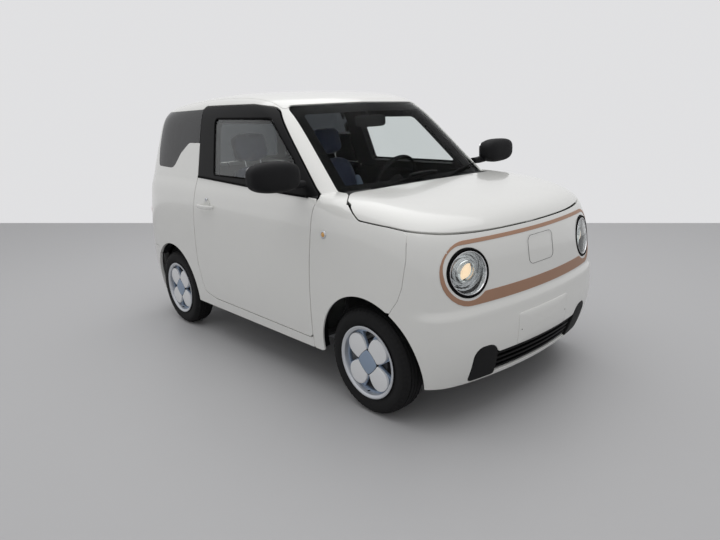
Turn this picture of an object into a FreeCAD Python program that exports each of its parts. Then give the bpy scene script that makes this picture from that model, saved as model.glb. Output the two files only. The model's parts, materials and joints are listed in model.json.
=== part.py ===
import FreeCAD, Part
import math
import os
import Sketcher
from FreeCAD import Placement, Rotation, Vector

# A two door, four seat microcar. Front is -Y, the car's right side is -X, +Z is up.
# The origin is on the ground under the middle of the car.

doc = FreeCAD.newDocument("Microcar")
sheet = doc.addObject("Spreadsheet::Sheet", "Sizes")
sheet_row = 0


def add_sizes(sizes):
    """Writes named sizes to the sheet, one row each."""
    global sheet_row
    for name, size in sizes.items():
        sheet_row += 1
        sheet.set(f"A{sheet_row}", name)
        sheet.set(f"B{sheet_row}", str(size))
        sheet.setAlias(f"B{sheet_row}", name)


class SizeReader:
    """Reads a named size back from the sheet."""

    def __getattr__(self, name):
        return float(getattr(sheet, name))


size = SizeReader()

# The whole car
whole_car = {
    "body_length": 3065, "body_width": 1522, "body_height": 1600, "wheel_base": 2015,
    "front_overhang": 508, "skirt_height": 200, "sill_height": 238, "cut_over": 40,
}
# How the sides, the nose and the tail bend
side_bends = {
    "waist_height": 620, "side_turn": 26, "side_turn_reach": 420, "nose_lean": 45,
    "chin_tuck": 60, "nose_bow": 60, "tail_lean": 40, "tail_tuck": 50, "tail_bow": 50,
    "bumper_height": 450, "lean_reach": 450, "chin_reach": 250, "body_corner_power": 11,
}
# The belt and the hood seen from the side
belt_and_hood = {
    "belt_height": 1058, "belt_front": -716, "belt_rise": 46, "belt_reach": 1207,
    "hood_start": -760, "hood_drop": 87, "hood_reach": 772, "hood_power": 1.7, "hood_crown": 12,
    "shoulder_power": 14, "hood_spine": 740,
}
# The glasshouse and the roof
glasshouse = {
    "glass_base": 1020, "glass_half_width": 724, "tumble": 0.24, "glass_low": 960,
    "roof_spine": 350, "screen_base": -800, "screen_base_height": 1040, "screen_rake": 1.087,
    "screen_bow": 62, "hatch_base": 1440, "hatch_rake": 0.22, "hatch_bow": 40,
    "cabin_middle": 300, "cabin_corner_power": 8, "roof_crest": 400, "roof_front_reach": 690,
    "roof_front_drop": 80, "roof_rear_reach": 850, "roof_rear_drop": 45, "roof_crown": 30,
    "roof_edge_power": 12,
}
# Panel thicknesses and gaps
walls_and_gaps = {
    "flange_wall": 20, "rebate_depth": 25, "side_wall": 60, "panel_wall": 20, "hood_wall": 25,
    "roof_wall": 30, "pillar_width": 25, "glass_wall": 5, "glass_inset": 5, "screen_inset": 3,
    "panel_gap": 5.3, "hatch_gap": 6, "rebate_step": 20, "swing_gap": 10, "seat_gap": 0.3,
    "ring_proud": 3,
}
# Wheels and tyres
wheels = {
    "tyre_shoulder_drop": 4, "barrel_wall": 6,
    "tyre_radius": 266.5, "tyre_width": 145, "tyre_seat_radius": 165, "tyre_bead_radius": 184,
    "tyre_bead_inset": 10, "tyre_low_radius": 198,
    "tyre_high_radius": "=tyre_radius - tyre_shoulder - tyre_shoulder_drop", "tyre_shoulder": 22,
    "tyre_tread_far": "=tyre_width - tyre_shoulder",
    "tyre_bead_far": "=tyre_width - tyre_bead_inset", "wheel_outset": 738, "lip_radius": 183,
    "lip_width": 9.7, "lip_far": "=tyre_width - lip_width", "lip_step_radius": 172,
    "rim_seat_radius": "=tyre_seat_radius - seat_gap", "barrel_radius": "=rim_seat_radius - barrel_wall",
    "disc_inner": 118, "disc_outer": 132, "hub_bore_radius": 28, "opening_inner": 72,
    "opening_outer": 152, "opening_half": 44, "opening_left": "=-opening_half", "petal_place": 79,
    "petal_radius": 40, "petal_height": 6, "cap_half": 52, "cap_left": "=-cap_half",
    "cap_height": 8, "arch_radius": 318, "arch_height": 283, "front_well_inner": 440,
    "rear_well_inner": 560,
}
# Where the fixed panels meet
panel_edges = {
    "hatch_top_y": 1280, "corner_reach_share": 0.48,
    "fender_rear": -622, "fender_inner": 600, "pillar_front": -700, "cabin_bottom": 1035,
    "door_inner": 640, "rail_inner": 556, "roof_half": 540, "roof_low": 1480,
    "hatch_hinge_y": 1277, "hatch_inner": 1400, "hatch_wall": 50, "rear_bumper_top": 555,
    "rear_bumper_front": 1240, "cowl_depth": 8, "cowl_half": 590, "cowl_rear": -700,
    "door_hinge_x": 764, "door_hinge_y": -719, "first_swing": 1, "corner_swing": 6,
}
# Lamps, ring and grille
lamps_and_grille = {
    "lamp_back_share": 0.8, "lens_share": 0.6, "lens_rise": 4.8, "dome_rise": 9,
    "ring_round_share": 0.98,
    "lamp_x": 490, "lamp_z": 737, "lamp_y": -1432, "lamp_radius": 113, "lamp_clearance": 1,
    "lamp_depth": 70, "lamp_rim": 9, "lamp_chrome": 6, "lamp_yaw": 13, "lamp_pitch": 4,
    "ring_half": 631, "ring_middle": 758, "ring_outer_radius": 143, "ring_top": 15,
    "ring_bottom": 48, "ring_inner_radius": 122, "grille_half": 385, "grille_low": 238,
    "grille_high": 338, "slat_height": 14, "slat_count": 4, "plate_half": 210, "plate_low": 341,
    "plate_high": 484, "plate_inset": 0.1, "plate_hole_x": 195, "plate_hole_radius": 3,
    "plate_depth": 14, "cap_inner": 372, "cap_outer": 576, "cap_low": 232, "cap_high": 395,
    "cap_radius": 48, "tail_lamp_x": 632, "tail_lamp_z": 800, "tail_lamp_y": 1440,
    "tail_lamp_radius": 68, "tail_lamp_depth": 45, "tail_lamp_proud": 8, "tail_lamp_yaw": 24,
    "tail_lamp_reach": 300,
}
# Cabin
cabin = {
    "seat_base_share": 0.4, "head_post_share": 0.45, "mirror_round_share": 0.45,
    "floor_height": 245, "floor_thickness": 16, "floor_half": 678.8, "floor_front": -560,
    "floor_rear": 520, "rear_floor_height": 430, "rear_floor_front": 600, "rear_floor_end": 1430,
    "bulkhead_front": -690, "bulkhead_top": 930, "shelf_half": 560, "shelf_front": -800,
    "shelf_height": 985, "ledge_half": 350, "ledge_front": -820, "ledge_rear": -790,
    "toe_height": 420, "rear_floor_half": 550, "dash_front": -673.7, "dash_rear": -430,
    "dash_low": 700, "dash_high": 1010, "dash_half": 620, "seat_x": 330, "seat_width": 460,
    "seat_front": -110, "seat_rear": 360, "seat_low": 330, "seat_high": 520,
    "back_thickness": 130, "back_top": 1140, "back_lean": 16, "head_width": 250,
    "head_height": 190, "head_depth": 110, "head_gap": 20, "bench_front": 680, "bench_rear": 1150,
    "bench_high": 600, "bench_width": 1000, "bench_back_top": 1010, "bench_back_thickness": 100,
    "bench_lean": 14, "inner_mirror_width": 250, "inner_mirror_height": 70,
    "inner_mirror_depth": 28, "inner_mirror_y": -330, "inner_mirror_z": 1390, "stalk_radius": 9,
    "stalk_lean": 40, "stalk_rise": 170, "cushion_radius": 35, "dash_slope": 60,
}
# Heavy masses and the structure under the hood
masses_and_structure = {
    "battery_length": 1040, "battery_width": 900,
    "battery_height": "=floor_height - battery_low - seat_gap", "battery_low": 150,
    "battery_y": -20, "motor_length": 320, "motor_width": 420,
    "motor_height": "=rear_floor_height - motor_low - seat_gap", "motor_y": 1110,
    "motor_low": 165, "rail_x": 400, "rail_width": 60, "rail_height": 90, "rail_low": 430,
    "rail_front": -1400, "tower_half": 80, "tower_top": 860, "radiator_depth": 50,
    "radiator_low": 330, "radiator_high": 640, "radiator_y": -1380, "service_half": 300,
    "service_depth": 300, "service_height": 160, "service_low": 560, "post_width": 30,
    "latch_x": 300, "latch_y": -1370, "hinge_post_x": 420, "hinge_post_y": -870,
}
# Mirrors and handles
mirrors_and_handles = {
    "mirror_inner": 815, "mirror_outer": 1040, "mirror_front": -662, "mirror_rear": -542,
    "mirror_low": 1088, "mirror_high": 1220, "mirror_radius": 30, "mirror_arm_height": 26,
    "mirror_arm_depth": 40, "mirror_arm_inner": 668, "handle_y": 413, "handle_z": 914,
    "handle_length": 170, "handle_radius": 13, "handle_stand": 34,
}
# Steering, knuckles and suspension
running_gear = {
    "beam_share": 0.6, "spring_share": 0.3, "damper_share": 0.9, "rear_spring_radius": 48,
    "spoke_width": 34,
    "kingpin_offset": 603, "ball_low": 170, "ball_high": 362, "upright_radius": 22,
    "spindle_radius": 27.92, "arm_thickness": 24, "arm_width": 70, "arm_inner": 300,
    "strut_offset": 520, "strut_radius": 26, "strut_top": 800, "spring_radius": 60,
    "crossmember_width": 700, "crossmember_depth": 120, "crossmember_height": 60,
    "beam_radius": 32, "beam_ahead": 330, "trailing_width": 50, "damper_radius": 22,
    "brake_inner": 645, "brake_outer": 698, "brake_radius": 105, "spindle_end": 720,
    "spring_low": 585, "rear_arm_outer": 560, "damper_x": 520, "wheel_house_wall": 6,
    "wheel_rim_radius": 180, "wheel_tube_radius": 14, "steer_x": 330, "steer_y": -195,
    "steer_z": 986, "column_tilt": 25, "column_radius": 18, "column_length": 330,
    "boss_radius": 52, "boss_depth": 40,
}

for sizes in (whole_car, side_bends, belt_and_hood, glasshouse, walls_and_gaps, wheels, panel_edges,
              lamps_and_grille, cabin, masses_and_structure, mirrors_and_handles, running_gear):
    add_sizes(sizes)
doc.recompute()

length = size.body_length
width = size.body_width
height = size.body_height
front_axle = -length / 2 + size.front_overhang
rear_axle = front_axle + size.wheel_base
axle_height = size.tyre_radius


# Curved skin

def squircle(angle, power):
    """A point of the unit superellipse in the direction of angle."""
    c, s = math.cos(angle), math.sin(angle)
    radius = (abs(c) ** power + abs(s) ** power) ** (-1 / power)
    return radius * c, radius * s


def bunched_angles(end, count, pull=0.6):
    """Angles from zero to end, closer together at the corners of a squircle."""
    steps = [end * i / (count - 1) for i in range(count)]
    return [a + pull * math.sin(4 * a) / 4 for a in steps]


def curved_face(grid):
    surface = Part.BSplineSurface()
    surface.interpolate(grid)
    return surface.toShape()


def skin_face(place, depth, across=33, up=15):
    """The right half of a skin. Its points run from the front over the side to the rear, and
    from the bottom over the shoulder to the middle of the top."""
    turns = bunched_angles(math.pi, across)
    rises = bunched_angles(math.pi / 2, up)
    grid = [[place(turn, rise, depth) for rise in rises] for turn in turns]
    for row in (grid[0], grid[-1], [line[-1] for line in grid]):
        for point in row:
            point.x = 0
    return curved_face(grid)


def in_middle(edge):
    return abs(edge.BoundBox.XMin) < 1e-3


def skin_shell(place, outer, inner):
    """The right half of a wall between two depths under the paint, open below."""
    skins = [skin_face(place, depth) for depth in (outer, inner)]
    rims = [[e for e in skin.Edges if not in_middle(e)][0] for skin in skins]
    middles = [e for skin in skins for e in skin.Edges if in_middle(e)]
    ends = [
        Part.makeLine(*[min(rim.Vertexes, key=lambda v: side * v.Y).Point for rim in rims])
        for side in (1, -1)
    ]
    below = Part.Face(Part.Wire(Part.__sortEdges__(rims + ends)))
    beside = Part.Face(Part.Wire(Part.__sortEdges__(middles + ends)))
    shell = Part.Shell(skins + [below, beside])
    shell.sewShape()
    solid = Part.Solid(shell)
    if solid.Volume < 0:
        solid.reverse()
    return solid


def lower_section(turn, z, depth):
    """The plan of the body below the glass at a height."""
    along, across = squircle(turn, size.body_corner_power)
    lean = abs(z - size.waist_height) / size.side_turn_reach
    half = width / 2 - depth - size.side_turn * lean ** 2
    above = max(0, z - size.bumper_height) / size.lean_reach
    below = max(0, size.bumper_height - z) / size.chin_reach
    if along > 0:
        lean, tuck, bow = size.nose_lean, size.chin_tuck, size.nose_bow
    else:
        lean, tuck, bow = size.tail_lean, size.tail_tuck, size.tail_bow
    reach = length / 2 - depth - lean * above ** 1.5 - tuck * below ** 2 - bow * across ** 2
    return -half * across, -reach * along


def lower_top(x, y):
    """The height of the hood and the belt, a little crowned."""
    belt = size.belt_height + size.belt_rise * (y - size.belt_front) / size.belt_reach
    fall = max(0, size.hood_start - y) / size.hood_reach
    crown = size.hood_crown * (1 - (2 * x / width) ** 2)
    return belt - size.hood_drop * fall ** size.hood_power + crown


def cabin_section(turn, z, depth):
    """The plan of the glasshouse at a height, leaning in as it rises."""
    along, across = squircle(turn, size.cabin_corner_power)
    half = size.glass_half_width - size.tumble * (z - size.glass_base) - depth
    rise = z - size.screen_base_height
    if along > 0:
        face = size.screen_base + size.screen_rake * rise + depth * math.hypot(1, size.screen_rake)
        reach = size.cabin_middle - face - size.screen_bow * across ** 2
    else:
        face = size.hatch_base - size.hatch_rake * rise - depth
        reach = face - size.cabin_middle - size.hatch_bow * across ** 2
    return -half * across, size.cabin_middle - reach * along


def cabin_top(x, y):
    """The height of the roof."""
    ahead = max(0, size.roof_crest - y) / size.roof_front_reach
    behind = max(0, y - size.roof_crest) / size.roof_rear_reach
    drop = size.roof_front_drop * ahead ** 2 + size.roof_rear_drop * behind ** 2
    return height - drop - size.roof_crown * (x / size.glass_half_width) ** 2


def skin_point(section, top, base, power, spine_middle, spine_half, turn, rise, depth):
    """A point of a skin. The plan section shrinks towards a spine as the skin turns over."""
    out, up = squircle(rise, power)
    spine = spine_middle + spine_half * (2 * turn / math.pi - 1)
    z = base + (height - base) * up / 2
    for step in range(5):
        x, y = section(turn, z, depth)
        x, y = out * x, spine + out * (y - spine)
        z = base + (top(x, y) - depth - base) * up
    return Vector(x, y, z)


def lower_point(turn, rise, depth):
    return skin_point(
        lower_section, lower_top, size.skirt_height, size.shoulder_power,
        0, size.hood_spine, turn, rise, depth,
    )


def cabin_point(turn, rise, depth):
    return skin_point(
        cabin_section, cabin_top, size.glass_low, size.roof_edge_power,
        size.cabin_middle, size.roof_spine, turn, rise, depth,
    )


shells = {}


def lower_shell(outer, inner):
    """The right half of the body wall below the glass."""
    key = ("lower", outer, inner)
    if key not in shells:
        shells[key] = skin_shell(lower_point, outer, inner)
    return shells[key]


def cabin_shell(outer, inner):
    """The right half of the glasshouse and roof wall."""
    key = ("cabin", outer, inner)
    if key not in shells:
        shells[key] = skin_shell(cabin_point, outer, inner)
    return shells[key]


# Flat outlines and the blocks cut from them

def grown(corners, amount):
    """The corners (a, b, radius) of an outline moved outwards by an amount, or inwards."""
    pairs = list(zip(corners, corners[1:] + corners[:1]))
    turn = math.copysign(1, sum(p[0] * q[1] - q[0] * p[1] for p, q in pairs))
    sides = [Vector(q[1] - p[1], p[0] - q[0], 0).normalize() * turn for p, q in pairs]
    moved = []
    for i, (a, b, radius) in enumerate(corners):
        before, after = sides[i - 1], sides[i]
        step = (before + after) * (amount / (1 + before.dot(after)))
        outward = amount if before.cross(after).z * turn > 0 else -amount
        moved.append((a + step.x, b + step.y, max(radius + outward, size.seat_gap)))
    return moved


def rounded_wire(corners, place):
    """A closed wire through corners (a, b, radius), where place turns (a, b) into a point."""
    points = [place(a, b) for a, b, radius in corners]
    edges = []
    share = size.corner_reach_share
    last = None
    first = None
    for i, (a, b, radius) in enumerate(corners):
        here = points[i]
        back, ahead = points[i - 1] - here, points[(i + 1) % len(points)] - here
        half = back.getAngle(ahead) / 2
        reach = min(radius / math.tan(half), back.Length * share, ahead.Length * share)
        back.normalize()
        ahead.normalize()
        start, end = here + back * reach, here + ahead * reach
        towards = (back + ahead).normalize()
        bend = reach * math.tan(half)
        middle = here + towards * (bend / math.sin(half) - bend)
        if last is not None:
            edges.append(Part.makeLine(last, start))
        else:
            first = start
        edges.append(Part.Arc(start, middle, end).toShape())
        last = end
    edges.append(Part.makeLine(last, first))
    return Part.Wire(edges)


def side_block(corner_shares, amount=0, deep=None):
    """A block seen from the side, from the middle out to the right, or from -deep outwards."""
    corners = [(y * length, z * height, r * height) for y, z, r in corner_shares]
    wire = rounded_wire(grown(corners, amount), lambda y, z: Vector(0, y, z))
    block = Part.Face(wire).extrude(Vector(-width, 0, 0))
    if deep:
        block.translate(Vector(-deep, 0, 0))
    return block


def front_block(corner_shares, near, far, amount=0):
    """A block seen from the front, between two places along the car."""
    corners = [(x * width, z * height, r * height) for x, z, r in corner_shares]
    wire = rounded_wire(grown(corners, amount), lambda x, z: Vector(x, near, z))
    return Part.Face(wire).extrude(Vector(0, far - near, 0))


def plan_block(corner_shares, low, high, amount=0):
    """A block seen from above, between two heights."""
    corners = [(x * width, y * length, r * height) for x, y, r in corner_shares]
    wire = rounded_wire(grown(corners, amount), lambda x, y: Vector(x, y, low))
    return Part.Face(wire).extrude(Vector(0, 0, high - low))


def box_between(low, high):
    (x0, y0, z0), (x1, y1, z1) = low, high
    return Part.makeBox(x1 - x0, y1 - y0, z1 - z0, Vector(x0, y0, z0))


def rod(start, end, radius):
    start, end = Vector(*start), Vector(*end)
    return Part.makeCylinder(radius, (end - start).Length, start, end - start)


def joined(shapes):
    whole = shapes[0]
    for shape in shapes[1:]:
        whole = whole.fuse(shape)
    return whole


def mirrored(shape):
    return shape.mirror(Vector(0, 0, 0), Vector(1, 0, 0))


def both_halves(shape):
    return shape.fuse(mirrored(shape)).removeSplitter()


parts = []


def add_part(label, shape):
    """A sub-part whose shape is worked out from the sizes in the sheet."""
    feature = doc.addObject("Part::Feature", label)
    feature.Label = label
    feature.Shape = shape
    feature.Placement = shape.Placement
    parts.append(feature)
    return feature


def add_pair(name, right_shape):
    add_part(f"{name}_right", right_shape)
    add_part(f"{name}_left", mirrored(right_shape))


# Outlines seen from the side: shares of the length and of the height, then corner radii
door_shares = [
    (-0.2013, 0.1838, 0.016), (-0.2095, 0.4175, 0.2), (-0.2153, 0.5350, 0.2),
    (-0.2300, 0.6480, 0.008), (-0.2050, 0.6690, 0.03), (-0.0672, 0.9240, 0.05),
    (0.0085, 0.9450, 0.1), (0.1964, 0.9525, 0.016), (0.1837, 0.6813, 0.05),
    (0.1948, 0.5375, 0.1), (0.1954, 0.3250, 0.1), (0.1834, 0.2063, 0.025),
    (0.1387, 0.1894, 0.025),
]
window_shares = [
    (0.1210, 0.6950, 0.016), (0.1370, 0.9094, 0.022), (-0.0610, 0.8990, 0.04),
    (-0.1413, 0.7519, 0.04), (-0.1690, 0.6860, 0.02),
]
quarter_shares = [
    (0.1990, 0.8119, 0.01), (0.2398, 0.8131, 0.04), (0.2757, 0.7706, 0.06),
    (0.3050, 0.7080, 0.06), (0.3856, 0.7138, 0.02), (0.3944, 0.7875, 0.06),
    (0.3905, 0.9420, 0.03), (0.2005, 0.9420, 0.01),
]
hood_side_shares = [
    (-0.56, 0.565, 0.001), (-0.470, 0.5775, 0.1), (-0.434, 0.5915, 0.15),
    (-0.326, 0.6010, 0.04), (-0.3030, 0.6270, 0.03), (-0.2950, 0.6400, 0.01),
    (-0.20, 0.6400, 0.001), (-0.20, 0.80, 0.001), (-0.56, 0.80, 0.001),
]
hood_plan_shares = [
    (0, -0.56, 0.001), (0, -0.2735, 0.001), (-0.296, -0.2685, 0.05),
    (-0.388, -0.2605, 0.05), (-0.476, -0.3000, 0.03), (-0.56, -0.3000, 0.001),
    (-0.56, -0.56, 0.001),
]
bumper_side_shares = [
    (-0.56, 0.10, 0.001), (-0.345, 0.10, 0.001), (-0.3778, 0.3281, 0.05),
    (-0.4013, 0.4288, 0.05), (-0.4147, 0.5163, 0.05), (-0.4215, 0.5869, 0.05),
    (-0.4245, 0.70, 0.001), (-0.56, 0.70, 0.001),
]
screen_front_shares = [
    (0.02, 0.644, 0.001), (-0.3916, 0.644, 0.02), (-0.3469, 0.9356, 0.03), (0.02, 0.9440, 0.001),
]
hatch_rear_shares = [
    (0.02, 0.3500, 0.001), (-0.330, 0.3500, 0.03), (-0.352, 0.50, 0.04),
    (-0.365, 0.655, 0.06), (-0.345, 1.02, 0.01), (0.02, 1.02, 0.001),
]
hatch_glass_shares = [
    (0.02, 0.690, 0.001), (-0.325, 0.690, 0.03), (-0.300, 0.9200, 0.03), (0.02, 0.9260, 0.001),
]


# Body panels

arches = [
    Part.makeCylinder(
        size.arch_radius, width, Vector(-width - inner, y, size.arch_height), Vector(1, 0, 0)
    )
    for y, inner in ((front_axle, size.front_well_inner), (rear_axle, size.rear_well_inner))
]
hood_cut = side_block(hood_side_shares, size.panel_gap).common(
    plan_block(hood_plan_shares, size.skirt_height, height, size.panel_gap)
)
hood_block = side_block(hood_side_shares).common(
    plan_block(hood_plan_shares, size.skirt_height, height)
)
door_cut = side_block(door_shares, size.panel_gap)
screen_cut = front_block(screen_front_shares, -length, 0)
roof_end = size.hatch_hinge_y - size.panel_gap
roof_box = box_between(
    (-size.roof_half, -length / 2, size.roof_low), (0, roof_end, 2 * height)
)
hatch_low_cut = front_block(
    hatch_rear_shares, size.hatch_inner - size.hatch_gap, length, size.hatch_gap
)
hatch_high_cut = front_block(
    hatch_rear_shares, size.hatch_hinge_y - size.cut_over, length, size.hatch_gap
)


def cabin_inside(amount=0):
    return cabin_shell(size.flange_wall + amount, 3 * size.side_wall)


def door_walls(amount, step):
    """The painted flange that laps over the body and the inner frame that goes inside, a step
    smaller all round, both grown by an amount."""
    under_glass = box_between(
        (-size.door_inner + amount, -length, 0), (0, length, size.belt_height - amount)
    ).fuse(box_between(
        (-width, -length, 0), (0, length, size.glass_low + size.panel_gap - amount)
    ))
    pieces = []
    layers = ((0, size.flange_wall, 0), (size.flange_wall, size.side_wall, -step))
    for outer, inner, shrink in layers:
        low_block = side_block(door_shares, shrink + amount, size.door_inner - amount)
        high_block = side_block(door_shares, shrink + amount, size.rail_inner - amount)
        high_block = high_block.cut(under_glass)
        low = lower_shell(outer - amount, inner + amount).common(low_block)
        pieces.append(low.cut(cabin_inside(amount)))
        pieces.append(cabin_shell(outer - amount, inner + amount).common(high_block))
    return joined(pieces)


def make_door():
    pillar = front_block(screen_front_shares, -length, 0, size.pillar_width)
    door = door_walls(0, size.rebate_step + size.swing_gap)
    door = door.cut(side_block(window_shares)).cut(pillar)
    handle_x = -lower_section(math.pi / 2, size.handle_z, 0)[0]
    grip = rod(
        (-handle_x - size.handle_stand, size.handle_y - size.handle_length / 2, size.handle_z),
        (-handle_x - size.handle_stand, size.handle_y + size.handle_length / 2, size.handle_z),
        size.handle_radius,
    )
    feet = [
        rod(
            (-handle_x + size.panel_gap, y, size.handle_z),
            (-handle_x - size.handle_stand, y, size.handle_z),
            size.handle_radius,
        )
        for y in (
            size.handle_y - size.handle_length / 2 + size.handle_radius,
            size.handle_y + size.handle_length / 2 - size.handle_radius,
        )
    ]
    return joined([door, grip] + feet)


def make_door_glass():
    window = side_block(window_shares, -size.seat_gap)
    return cabin_shell(size.glass_inset, size.glass_inset + size.glass_wall).common(window)


def make_mirror():
    """The door mirror's housing and the arm that carries it."""
    housing = box_between(
        (-size.mirror_outer, size.mirror_front, size.mirror_low),
        (-size.mirror_inner, size.mirror_rear, size.mirror_high),
    )
    housing = housing.makeFillet(size.mirror_radius, housing.Edges)
    arm_y = size.mirror_rear - size.mirror_arm_depth / 2
    arm = box_between(
        (-size.mirror_inner - size.mirror_radius, arm_y - size.mirror_arm_depth / 2,
         size.mirror_low),
        (-size.mirror_arm_inner, arm_y + size.mirror_arm_depth / 2,
         size.mirror_low + size.mirror_arm_height),
    )
    return housing.fuse(arm).cut(door)


def make_side_frame():
    """The sill, hinge pillar, rear quarter, roof rail and screen pillar in one pressing."""
    low = lower_shell(0, size.side_wall).common(box_between(
        (-width, size.pillar_front, size.sill_height), (-size.door_inner, length / 2, height)
    ))
    wing = lower_shell(-size.panel_gap, size.rebate_depth).common(
        box_between((-width, -length, 0), (0, size.fender_rear, height))
    )
    low = low.cut(joined([wing, arches[0], arches[1], hatch_low_cut])).cut(cabin_inside())
    high = cabin_shell(0, size.side_wall).common(
        box_between((-width, -length / 2, size.cabin_bottom), (0, length / 2, 2 * height))
    )
    high = high.cut(joined([screen_cut, roof_box])).cut(hatch_high_cut)
    rear_bumper_zone = box_between(
        (-width, size.rear_bumper_front, 0), (0, length, size.rear_bumper_top)
    )
    opening = door_walls(size.panel_gap, size.rebate_step)
    frame = joined([low, high]).cut(rear_bumper_zone).cut(opening)
    hinge = Vector(-size.door_hinge_x, size.door_hinge_y, 0)
    for swing in (size.first_swing, size.corner_swing):
        frame = frame.cut(opening.rotated(hinge, Vector(0, 0, 1), swing))
    return frame.cut(side_block(quarter_shares))


def make_quarter_window():
    window = side_block(quarter_shares, -size.seat_gap, size.rail_inner)
    return cabin_shell(0, size.glass_wall).common(window)


def make_fender():
    """The front wing, from the bumper's edge to the door."""
    zone = box_between(
        (-width, -length / 2, size.sill_height), (-size.fender_inner, size.fender_rear, height)
    )
    wing = lower_shell(0, size.panel_wall).common(zone)
    return wing.cut(joined([
        side_block(bumper_side_shares, size.seat_gap), hood_cut, door_cut, arches[0], screen_cut,
    ])).cut(cabin_shell(0, size.side_wall))


def lamp_frame(x, y, z, yaw, pitch):
    """A placement whose own +Z looks out of a lamp."""
    forward = Rotation(Vector(0, 0, 1), yaw).multiply(Rotation(Vector(1, 0, 0), 90 + pitch))
    return Placement(Vector(x, y, z), forward)


lamp_place = lamp_frame(-size.lamp_x, size.lamp_y, size.lamp_z, -size.lamp_yaw, -size.lamp_pitch)


def make_bumper():
    """The nose panel with its lamp holes, air slot and corner pockets."""
    skin = lower_shell(0, size.panel_wall).common(side_block(bumper_side_shares))
    lamp_hole = Part.makeCylinder(
        size.lamp_radius + size.lamp_clearance, 4 * size.lamp_depth,
        Vector(0, 0, -2 * size.lamp_depth),
    )
    lamp_hole.Placement = lamp_place
    half = skin.cut(joined([
        hood_cut, arches[0], lamp_hole, slot_block(size.seat_gap), cap_block(size.seat_gap),
    ]))
    face_y = -length / 2 + size.plate_inset
    plate_pad = box_between(
        (-size.plate_half, face_y, size.plate_low),
        (0, face_y + size.panel_wall, size.plate_high),
    )
    plate_z = (size.plate_low + size.plate_high) / 2
    hole = rod((-size.plate_hole_x, face_y, plate_z),
               (-size.plate_hole_x, face_y + size.plate_depth, plate_z), size.plate_hole_radius)
    return both_halves(half.fuse(plate_pad).cut(hole))


def slot_block(amount=0):
    return box_between(
        (-size.grille_half, -length, size.grille_low - amount),
        (0, -length / 4, size.grille_high + amount),
    )


def cap_block(amount=0):
    middle = (size.cap_inner + size.cap_outer) / 2
    shares = [
        (-size.cap_inner, size.cap_low), (-size.cap_outer, size.cap_low),
        (-size.cap_outer, size.cap_high), (-size.cap_inner, size.cap_high),
    ]
    corners = [
        (x / width, z / height, (size.cap_radius if z > size.cap_low else 1) / height)
        for x, z in shares
    ]
    return front_block(corners, -length, -length / 4, amount)


def make_grille():
    """Dark slats between two rounded corner caps."""
    slats = []
    step = (size.grille_high - size.grille_low) / size.slat_count
    layer = lower_shell(size.cowl_depth, size.panel_wall)
    for i in range(int(size.slat_count)):
        middle = size.grille_low + (i + 0.5) * step
        slats.append(layer.common(box_between(
            (-size.grille_half, -length, middle - size.slat_height / 2),
            (0, -length / 4, middle + size.slat_height / 2),
        )))
    cap = lower_shell(size.seat_gap, size.panel_wall).common(cap_block())
    return both_halves(joined([cap] + slats))


def make_ring():
    """The copper ring round both lamps, thin above and broad below."""
    radius = size.ring_outer_radius
    outer = [
        (side * size.ring_half / width, z / height, size.ring_round_share * radius / height)
        for side, z in ((1, size.ring_middle - radius), (-1, size.ring_middle - radius),
                        (-1, size.ring_middle + radius), (1, size.ring_middle + radius))
    ]
    low = size.ring_middle - radius + size.ring_bottom
    high = size.ring_middle + radius - size.ring_top
    inner_half = size.ring_half - size.ring_outer_radius + size.ring_inner_radius
    inner_radius = size.ring_round_share * (high - low) / 2
    inner = [
        (side * inner_half / width, z / height, inner_radius / height)
        for side, z in ((1, low), (-1, low), (-1, high), (1, high))
    ]
    band = front_block(outer, -length, -length / 4).cut(front_block(inner, -length, 0))
    half = band.common(box_between((-width, -length, 0), (0, 0, height)))
    layer = lower_shell(-size.ring_proud - size.seat_gap, -size.seat_gap)
    return both_halves(layer.common(half))


def revolved(profile, place):
    """A solid turned about its own Z axis from (radius, z) points."""
    points = [Vector(r, 0, z) for r, z in profile]
    solid = Part.Face(Part.makePolygon(points + points[:1])).revolve(
        Vector(0, 0, 0), Vector(0, 0, 1), 360
    )
    solid.Placement = place
    return solid


def make_headlamp():
    """A round lamp: dark bezel, bright ring and a shallow domed lens."""
    radius, rim, chrome = size.lamp_radius, size.lamp_rim, size.lamp_chrome
    profile = [
        (0, -size.lamp_depth), (radius * size.lamp_back_share, -size.lamp_depth),
        (radius, -chrome),
        (radius, chrome / 2), (radius - rim / 2, chrome), (radius - rim, chrome / 2),
        (radius - rim - chrome / 2, chrome), (radius - rim - chrome, 0),
        (radius * size.lens_share, size.lens_rise), (0, size.dome_rise),
    ]
    return revolved(profile, lamp_place)


def make_hood():
    return both_halves(lower_shell(0, size.hood_wall).common(hood_block))


def make_roof():
    skin = cabin_shell(0, size.roof_wall).common(roof_box)
    return both_halves(skin.cut(screen_cut))


def make_windshield():
    screen = front_block(screen_front_shares, -length, 0, -size.seat_gap)
    half = screen.common(box_between((-width, -length, 0), (0, 0, 2 * height)))
    layer = cabin_shell(size.screen_inset, size.screen_inset + size.glass_wall)
    return both_halves(layer.common(half))


def make_cowl():
    """The dark panel between the hood and the screen."""
    zone = box_between(
        (-size.cowl_half, -length / 2, size.skirt_height), (0, size.cowl_rear, height)
    )
    panel = lower_shell(size.cowl_depth, size.cowl_depth + size.panel_wall).common(zone)
    panel = panel.cut(hood_cut).cut(cabin_shell(-size.panel_gap, size.side_wall))
    panel = panel.cut(side_block(bumper_side_shares))
    return both_halves(max(panel.Solids, key=lambda piece: piece.Volume))


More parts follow.
